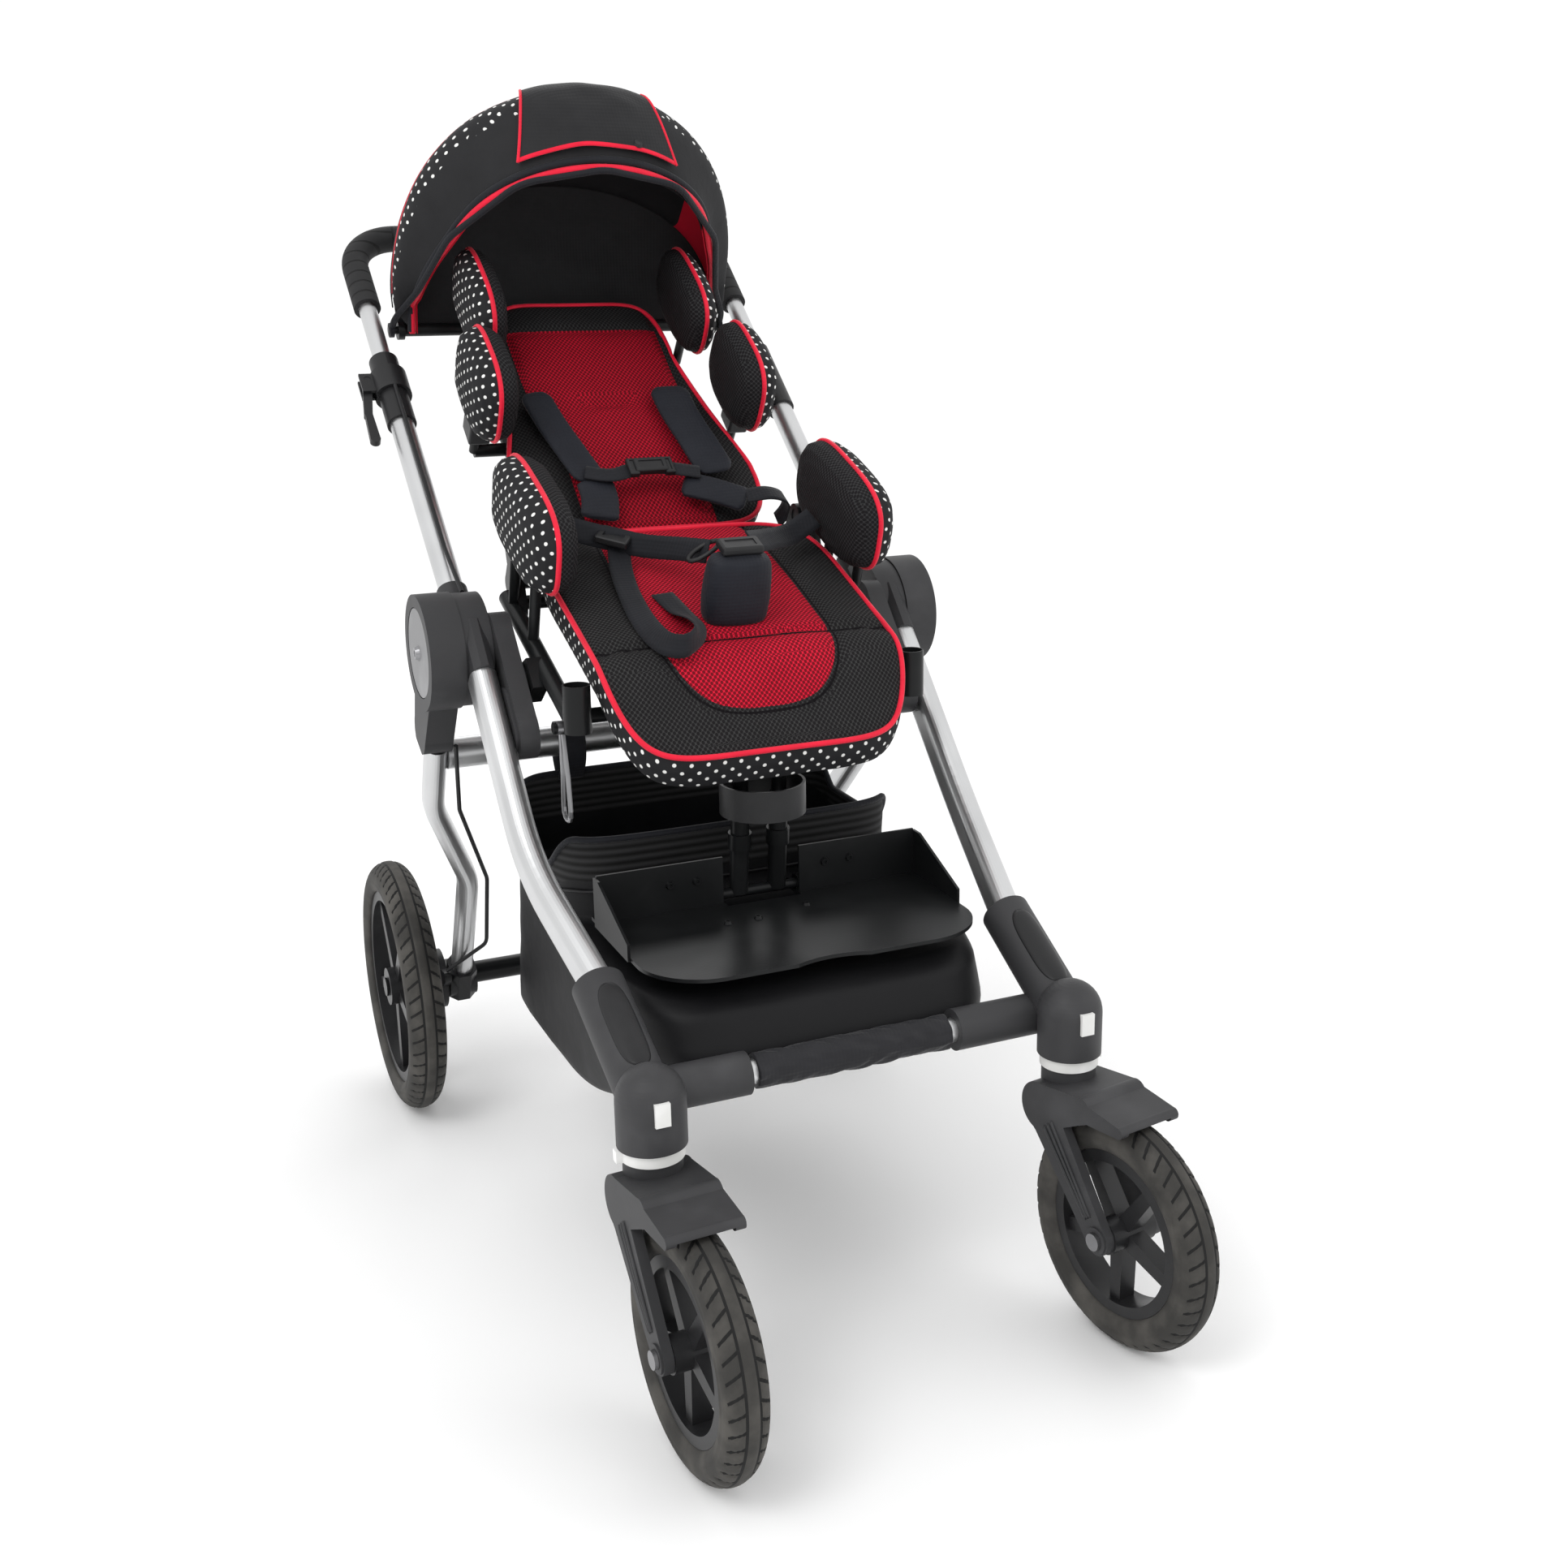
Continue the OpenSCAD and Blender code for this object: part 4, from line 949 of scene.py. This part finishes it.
def make_hood():
    def outer(u, v):
        crease = rumple((u * 9, v * 5, 1), size=1, depth=3.2)
        crease *= sin(pi * min(v * 1.4, 1)) ** 0.5
        sag = -2.2 * sin(pi * v) + crease
        return hood_span(u, v, 0.6 + sag * sin(pi * u))

    def inner(u, v):
        crease = rumple((u * 9, v * 5, 4), size=1, depth=2)
        return hood_span(u, v, -5 + crease * sin(pi * v))

    def rear(u, v):
        top = hood_at(1, radians(FIRST_ANGLE + (180 - 2 * FIRST_ANGLE) * u), -1.5)
        foot = Vector((top.x * 0.985, HOOD.y + 9, HOOD.z + 3))
        belly = sin(pi * v) * sin(pi * u)
        fold = rumple((u * 7, v * 4, 6), size=1, depth=5) * belly
        return top.lerp(foot, v) + Vector((0, 14 * belly + fold, 0))

    cover = keep("hood_cover", skin(128, 60, outer), [hood_panels()], None)
    walls(cover, 1.4, -1)
    hood_blend(cover)
    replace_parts(cover, "canopy")
    lining = keep("hood_lining", skin(100, 40, inner), [lining_panels()], None)
    walls(lining, 1.0)
    hood_blend(lining)
    panel = keep("hood_rear_panel", skin(70, 30, rear), [hood_cloth], "back")
    walls(panel, 1.4)


make_hood()


# The flap on top of the hood, narrower towards the rear and lifted at its front edge
FLAP_HALF, FLAP_TAPER = 92, 24
FLAP_FROM, FLAP_RUN = 0.07, 0.37
FLAP_LIFT = 5
EDGE_POINTS = 50


def flap_at(u, v, out=5.0):
    x = (u - 0.5) * 2 * (FLAP_HALF - FLAP_TAPER * v)
    a = atan2((1 - (x / HOOD_HALF_W) ** 2) ** 0.5, x / HOOD_HALF_W)
    crease = rumple((u * 4, v * 4, 9), size=1, depth=2.4) * sin(pi * u)
    lift = FLAP_LIFT * (1 - v) ** 4 + crease
    return hood_at(FLAP_FROM + FLAP_RUN * v, a, out + lift)


def make_hood_trim():
    for name, t, out, radius, look in (
        ("hood_front_piping", 0.004, 2.2, 4.2, piping_red),
        ("hood_front_binding", 0.035, 2.4, 4.6, webbing),
    ):
        edge = [hood_span(k / EDGE_POINTS, t, out) for k in range(EDGE_POINTS + 1)]
        tube(name, edge, radius, look, "hood", count=200)

    bm = skin(40, 40, flap_at, tone=lambda u, v: 1 if v < 0.05 else 0)
    flap = keep("hood_flap", bm, [hood_cloth, red_cloth], None)
    walls(flap, 1.4)
    hood_blend(flap)
    for number, u in enumerate((0.0, 1.0)):
        edge = [flap_at(u, k / 12, 5.4) for k in range(13)]
        name = f"hood_flap_piping_{number}"
        hem = tube(name, edge, 1.9, piping_red, None, count=60, sides=8)
        hood_blend(hem)
    spot = flap_at(0.74, 0.09, 6.2)
    bm, face = stud(radius=6.2, top_radius=4.6, depth=3.2, segments=28)
    bmesh.ops.inset_region(bm, faces=face, thickness=1.6, depth=-0.9)
    settle(bm, spot, facing_turn((spot - HOOD).normalized()))
    snap = keep("hood_flap_snap", bm, [black_plastic], None, smooth=False)
    hood_blend(snap)


make_hood_trim()


# Harness: padded shoulder straps and webbing on the back, lap belt on the seat
def pad_strap(name, points, across, width, thick):
    path = trace([back_at(*p) for p in points], 40)
    side = way(back_at, *across).normalized()
    tips = len(path) - 1

    def place(u, v):
        k = round(v * tips)
        ahead, cross = heading(path, k, side)
        rise = ahead.cross(cross)
        end = min(1.0, (min(v, 1 - v) * 9 + 0.02)) ** 0.45
        a = ROUND * u
        wide = width / 2 * power(cos(a), 0.55) * (0.35 + 0.65 * end)
        return path[k] + cross * wide + rise * thick / 2 * power(sin(a), 0.8) * end

    bm = skin(36, tips, place, weld=True, fill=True)
    keep(name, bm, [pommel_cloth], "back")


def belt(name, points, on, across, width, body):
    path = [on(*p) for p in points]
    many = isinstance(across, list)
    side = [way(on, *c) for c in across] if many else way(on, *across)
    strap(name, path, side, width, body)


def make_harness():
    pad_strap(
        "right_shoulder_strap", [(-96, 9, 236), (-88, 8, 185), (-76, 6, 130), (-64, 6, 84)],
        across=(1, 0, 0.5), width=38, thick=9,
    )
    pad_strap(
        "left_shoulder_strap", [(74, 8, 238), (76, 7, 190), (84, 5, 135), (92, 5, 84)],
        across=(1, 0, -0.2), width=50, thick=10,
    )
    pad_strap(
        "right_waist_pad", [(-62, 6, 82), (-62, 8, 55), (-70, 9, 24)],
        across=(1, 0, 0), width=44, thick=10,
    )
    pad_strap(
        "left_waist_pad", [(44, 6, 70), (78, 3, 52), (112, 2, 32)],
        across=(0.4, 0, 1), width=40, thick=10,
    )
    belt(
        "chest_strap", [(-72, -1, 90), (-42, -4, 80), (-8, -5, 88), (26, -5, 86), (66, -3, 78)],
        back_at, (0, 0, 1), CHEST_WIDTH, "back",
    )
    face = way(back_at, 0, -1, 0)
    block("chest_clip", back_at(6, -8, 88), ACROSS, face, (40, 22, 9), "back", bevel=2.4)
    for number, x in enumerate((-16, 28)):
        end = back_at(x, -7, 87)
        block(f"chest_clip_end_{number}", end, ACROSS, face, (12, 26, 8), "back", bevel=2)
    belt(
        "left_waist_belt",
        [(112, -2, 36), (138, -8, 33), (160, 0, 31), (165, 18, 29), (158, 36, 28)],
        back_at, (0, 0.2, 1), BELT_WIDTH, "back",
    )
    belt(
        "right_lap_belt",
        [(-134, 122, 40), (-92, 112, 30), (-62, 84, 34), (-36, 44, 50), (-20, 6, 66)],
        seat_at, (0.25, 0.6, 0.8), BELT_WIDTH, "seat",
    )
    belt(
        "left_lap_belt", [(146, 104, 44), (112, 88, 34), (66, 44, 54), (24, -4, 80)],
        seat_at, (-0.3, 0.8, 0.6), BELT_WIDTH, "seat",
    )
    belt(
        "loose_belt_end",
        [
            (-84, 106, 25), (-92, 70, 15), (-98, 20, 12), (-101, -40, 13), (-97, -88, 18),
            (-82, -108, 24), (-63, -94, 26), (-54, -62, 22), (-57, -24, 13), (-62, 20, 10),
        ],
        seat_at,
        [
            (1, 0.2, 0.1), (1, 0, 0), (1, 0, 0), (1, 0, 0.4), (0.6, 0, 1), (0.1, 0.2, 1),
            (-0.4, 0, 1), (-1, 0, 0.6), (-1, 0, 0.1), (-1, 0, 0),
        ],
        LOOSE_WIDTH, "seat",
    )
    up = way(seat_at, 0, 0, 1)
    block(
        "lap_adjuster", seat_at(-88, 110, 33), way(seat_at, 0.8, -0.6, 0), up, (38, 32, 9),
        "seat", bevel=2.6, sink=3,
    )
    block("pommel_buckle", seat_at(2, -26, 88), ACROSS, up, (46, 26, 10), "seat", bevel=3)
    angles = [k * pi / 6 for k in range(12)]
    ring = [seat_at(-24 + 16 * cos(a), 8 + 9 * sin(a), 66 + 10 * cos(a)) for a in angles]
    tube("lap_ring", ring, 2.6, black_plastic, "seat", count=48, closed=True)


make_harness()

# Tyres: a smooth middle band and slanted blocks to each side
TYRE_DEPTH = 36.8
GROOVE_CUT, SLOT_CUT, BEAD_CUT = 1.5, 1.7, 0.8
SLOT_SHARE = 0.17
BEAD_FROM, BEAD_TO = 88, 94
FRONT_R, FRONT_W = 124, 44
REAR_R, REAR_W = 160, 46
REAR_X, REAR_Y = 296, 356
SWIVEL_X, SWIVEL_Y = 223, -430
TRAIL = 91


def make_tyre(node, body, mid, yaw, radius, width, pitches, look):
    core = radius - width / 2
    turn = Matrix.Rotation(yaw, 3, "Z")

    def place(u, v):
        side = (v - 0.5) * 2
        angle = radians(180 * side)
        lean = abs(side) * 180
        cut = 0.0
        if GROOVE_FROM < lean < GROOVE_TO:
            cut = GROOVE_CUT
        elif GROOVE_TO <= lean < BLOCKS_TO:
            wave = (pitches * u + BLOCK_SLANT * lean + (0.5 if side > 0 else 0.0)) % 1.0
            cut = SLOT_CUT if wave < SLOT_SHARE else 0.0
        elif BEAD_FROM < lean < BEAD_TO:
            cut = BEAD_CUT
        r = width / 2 - cut
        out = max(core + r * cos(angle), radius - TYRE_DEPTH)
        spot = Vector((r * sin(angle), out * sin(ROUND * u), out * cos(ROUND * u)))
        return Vector(mid) + turn @ spot

    bm = skin(pitches * 6, 60, place, weld=True)
    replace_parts(keep(node + "_tread", bm, [look], body), node)


for side, word, yaw in CASTERS:
    hub = (side * SWIVEL_X + TRAIL * sin(yaw), SWIVEL_Y - TRAIL * cos(yaw), FRONT_R)
    make_tyre(
        word + "_front_tyre", word + "_front_wheel", hub, yaw, FRONT_R, FRONT_W,
        FRONT_PITCHES, tyre_rubber,
    )
    make_tyre(
        word + "_rear_tyre", word + "_rear_wheel", (side * REAR_X, REAR_Y, REAR_R), 0,
        REAR_R, REAR_W, REAR_PITCHES, rear_rubber,
    )

# Basket: a hung tub with a toe that reaches forward under the footplate
# Share of the way up, share of the plan, height, front, rear, half width
BASKET_RINGS = [
    (0.0, 0.0, 194, -150, 205, 190), (0.13, 0.95, 191, -150, 205, 190),
    (0.17, 1.0, 199, -170, 204, 196), (0.34, 1.0, 284, -357, 189, 199),
    (0.42, 1.0, 318, -363, 182, 199), (0.52, 1.0, 358, -342, 173, 199),
    (0.57, 1.0, 371, -318, 171, 198), (0.7, 1.0, 378, -97, 170, 199),
    (0.76, 1.0, 396, -92, 166, 199), (1.0, 1.0, 466, -92, 152, 199),
]
FLOOR_END = 0.13
FRONT_SQUARE, REAR_SQUARE, SIDE_SQUARE = 4.2, 9, 7
SCOOP_DROP, REAR_RISE = 40, 10


def basket_at(u, v, out=0.0):
    share, z, front, rear, half = along(BASKET_RINGS, v)
    a = ROUND * u
    mid, reach = (front + rear) / 2, (rear - front) / 2
    square = FRONT_SQUARE if sin(a) < 0 else REAR_SQUARE
    x = (half + out) * power(cos(a), 2 / SIDE_SQUARE) * share
    y = mid + (reach + out) * power(sin(a), 2 / square) * share
    at_side = (1 - ease((abs(y - 40) - 60) / 55)) * ease((abs(x) - 150) / 30)
    scoop = ease((v - 0.72) / 0.28) * at_side
    rise = ease((v - 0.8) / 0.2) * ease((y - 100) / 40) * REAR_RISE
    fold = rumple((x / 70, y / 70, z / 45), size=1, depth=3.4)
    fold *= share if v < 0.95 else 0.4
    z += rise - SCOOP_DROP * scoop + (fold * 0.5 if v < FLOOR_END else 0)
    return x - fold * cos(a) * 0.6, y - abs(fold) * sin(a) * 0.5, z


def basket_look():
    look = Look("basket cloth", COAL, 0.55, Specular_IOR_Level=0.18)
    v = look.axes(SEWN)[1]
    cloud = look.noise(scale=18, detail=4)
    ribs = (look.axes()[2] * 700).wave() * 0.5 + 0.5
    band = v > 0.84
    smooth_cloth = look.tint(cloud, (0.005, 0.005, 0.006), (0.011, 0.011, 0.012))
    # Ribs of the top band: painted highlight on their crests and painted shade in their hollows
    rib_light_and_shade = look.tint(ribs, (0.006, 0.006, 0.006), (0.03, 0.03, 0.031))
    look.set("Base Color", look.tint(band, smooth_cloth, rib_light_and_shade))
    look.set("Roughness", 0.42 + cloud * 0.2 + band * 0.2)
    crease = look.noise(scale=45, detail=4)
    look.bump(ribs * band + crease * 0.6, strength=0.35, depth=0.002)
    return look


def make_basket():
    bm = skin(180, 70, basket_at, weld=True)
    tub = keep("basket_cloth", bm, [basket_look()], None)
    walls(tub, 1.8, -1)
    rim = [basket_at(k / 90, 1.0) for k in range(90)]
    hem = tube(
        "basket_hem", rim, 3.6, webbing, None, count=270, closed=True, sides=8
    )
    zip_line = [basket_at(k / 60 + 0.5, 0.8, 1.4) for k in range(31)]
    pull = tube(
        "basket_zip", zip_line, 1.7, black_plastic, None, count=240, sides=8
    )
    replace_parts(tub, "basket")
    for piece in (tub, hem, pull):
        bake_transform(piece)
    for number, x in enumerate((-120, 0, 120)):
        around = [
            (x, 150, 468), (x, 134, 492), (x, 131.5, 515), (x, 140, 533), (x, 153, 536.5),
            (x, 166, 533), (x, 174.5, 515), (x, 170, 490), (x, 156, 466),
        ]
        loop = strap(f"basket_loop_{number}", around, ACROSS, LOOP_WIDTH, "rear_frame")


make_basket()

# The gathered wrap of the front cross tube
WRAP_HALF = 104
WRAP_Y, WRAP_Z = -385, 313
WRAP_RADIUS = 17.6


def make_wrap():
    def place(u, v):
        x = -WRAP_HALF + 2 * WRAP_HALF * v
        a = ROUND * u
        spot = (x / 16 + 2 * cos(a), 2 * sin(a), 0.7 * cos(a + x / 20))
        r = WRAP_RADIUS + rumple(spot, size=1, depth=2.6) - 1.2 * abs(2 * v - 1) ** 8
        return x, WRAP_Y + r * cos(a), WRAP_Z + r * sin(a)

    bm = skin(64, 120, place, weld=True, fill=True)
    piece = keep("cross_tube_wrap", bm, [sleeve_cloth], "chassis")
    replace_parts(piece, "cross_tube_sleeve")


make_wrap()


# Screw heads with a driver socket
def screw(name, spot, facing, radius, look, body):
    bm, face = stud(radius, top_radius=radius * 0.72, depth=radius * 0.7, segments=24)
    bmesh.ops.inset_region(bm, faces=face, thickness=radius * 0.32, depth=0)
    bmesh.ops.inset_region(bm, faces=face, thickness=radius * 0.05, depth=-radius * 0.3)
    settle(bm, spot, facing_turn(facing))
    keep(name, bm, [look], body, smooth=False)


PLATE_TOP, PLATE_WALL, WALL_SCREW_Z = 399.2, -154.2, 428
DRUM_FACE, HUB_Y, HUB_Z = 301.2, 84, 650
PLATE_SCREW, DRUM_SCREW = 5, 9
for number, (x, y) in enumerate(((-62, -212), (-28, -212), (34, -196))):
    name = f"footplate_screw_{number}"
    screw(name, (x, y, PLATE_TOP), (0, 0, 1), PLATE_SCREW, black_paint, "footplate")
for number, x in enumerate((-104, -74, 74, 104)):
    name = f"footplate_wall_screw_{number}"
    screw(name, (x, PLATE_WALL, WALL_SCREW_Z), (0, -1, 0), PLATE_SCREW, black_paint, "footplate")
for side, word in SIDES:
    spot = (side * DRUM_FACE, HUB_Y, HUB_Z)
    screw(word + "_drum_screw", spot, (side, 0, 0), DRUM_SCREW, wire_steel, "rear_frame")
    block(
        word + "_thoracic_bracket", back_at(side * 165, 40, 215), ACROSS, way(back_at, 0, -1, 0),
        (26, 34, 30), "back", bevel=3,
    )


# Dark inlay along the top of each front knuckle
INLAY_MID, INLAY_HALF_L, INLAY_HALF_TURN = 72, 52, 0.62
INLAY_LIFT, INLAY_CROWN = 26.0, 1.5


def make_knuckle_inlay(side, word):
    heel, toe = Vector((side * 226, -289, 388)), Vector((side * SWIVEL_X, -422, 322))
    ahead = (toe - heel).normalized()
    crown = ACROSS.cross(ahead) * -1

    def place(u, v):
        a = ROUND * u
        run = INLAY_MID + INLAY_HALF_L * power(cos(a), 2 / 3.4) * v
        turn = INLAY_HALF_TURN * power(sin(a), 2 / 2.6) * v
        lift = INLAY_LIFT + INLAY_CROWN * (1 - v ** 6)
        return heel + ahead * run + (crown * cos(turn) + ACROSS * sin(turn)) * lift

    bm = skin(48, 14, place, weld=True)
    inlay = keep(word + "_knuckle_inlay", bm, [black_plastic], "chassis")
    walls(inlay, 1.2, -1)


# Raised ribs down both faces of each fork's arms, closer together towards the axle
ARM_ACROSS, ARM_UP = 0.78, 0.62
# Out from the swivel, along and height of a middle rib, and its share of the spread
RIB_POINTS = [
    (37.6, -14, 220, 1), (38.6, -20, 213, 1), (38.6, -72, 150, 0.55), (37.6, -76, 145, 0.55),
]


def make_fork_ribs(side, word, yaw):
    def at(x, y, z):
        across = side * SWIVEL_X + x * cos(yaw) - y * sin(yaw)
        return across, SWIVEL_Y + x * sin(yaw) + y * cos(yaw), z

    for face in (-1, 1):
        edge = "outer" if face == side else "inner"
        for number, shift in enumerate((-7, 0, 7)):
            points = [
                at(face * x, y + shift * share * ARM_ACROSS, z - shift * share * ARM_UP)
                for x, y, z, share in RIB_POINTS
            ]
            tube(
                f"{word}_fork_{edge}_rib_{number}", points, 1.7, grey_plastic,
                word + "_caster", count=12, sides=8,
            )


for side, word, yaw in CASTERS:
    make_knuckle_inlay(side, word)
    make_fork_ribs(side, word, yaw)

# Floor and studio light: place, aim, watts and width of each lamp
FLOOR_HALF = 30
SKY_STRENGTH = 1.04
LAMPS = (
    ("key light", (-2.2, -1.6, 3.4), (0, 0, 0.6), 38, 1.6),
    ("fill light", (2.6, -2.4, 2.2), (0, 0, 0.6), 12, 2.0),
    ("rear light", (0.5, 2.8, 2.8), (0, 0, 0.8), 14, 1.8),
)


def make_stage():
    floor = bpy.data.objects.new("floor", bpy.data.meshes.new("floor"))
    bm = bmesh.new()
    bmesh.ops.create_grid(bm, x_segments=1, y_segments=1, size=FLOOR_HALF)
    bm.to_mesh(floor.data)
    bm.free()
    scene.collection.objects.link(floor)
    pale = Look("pale floor", (0.98, 0.98, 0.98), 0.95, Specular_IOR_Level=0.0)
    floor.data.materials.append(pale.material)
    world = bpy.data.worlds.new("studio")
    scene.world = world
    world.use_nodes = True
    sky = world.node_tree.nodes["Background"]
    sky.inputs["Color"].default_value = (1, 1, 1, 1)
    sky.inputs["Strength"].default_value = SKY_STRENGTH
    for name, spot, aim, watts, size in LAMPS:
        lamp = bpy.data.lights.new(name, "AREA")
        lamp.energy = watts
        lamp.size = size
        made = bpy.data.objects.new(name, lamp)
        scene.collection.objects.link(made)
        made.location = spot
        aimed = (Vector(spot) - Vector(aim)).to_track_quat("Z", "Y")
        made.rotation_euler = aimed.to_euler()


make_stage()
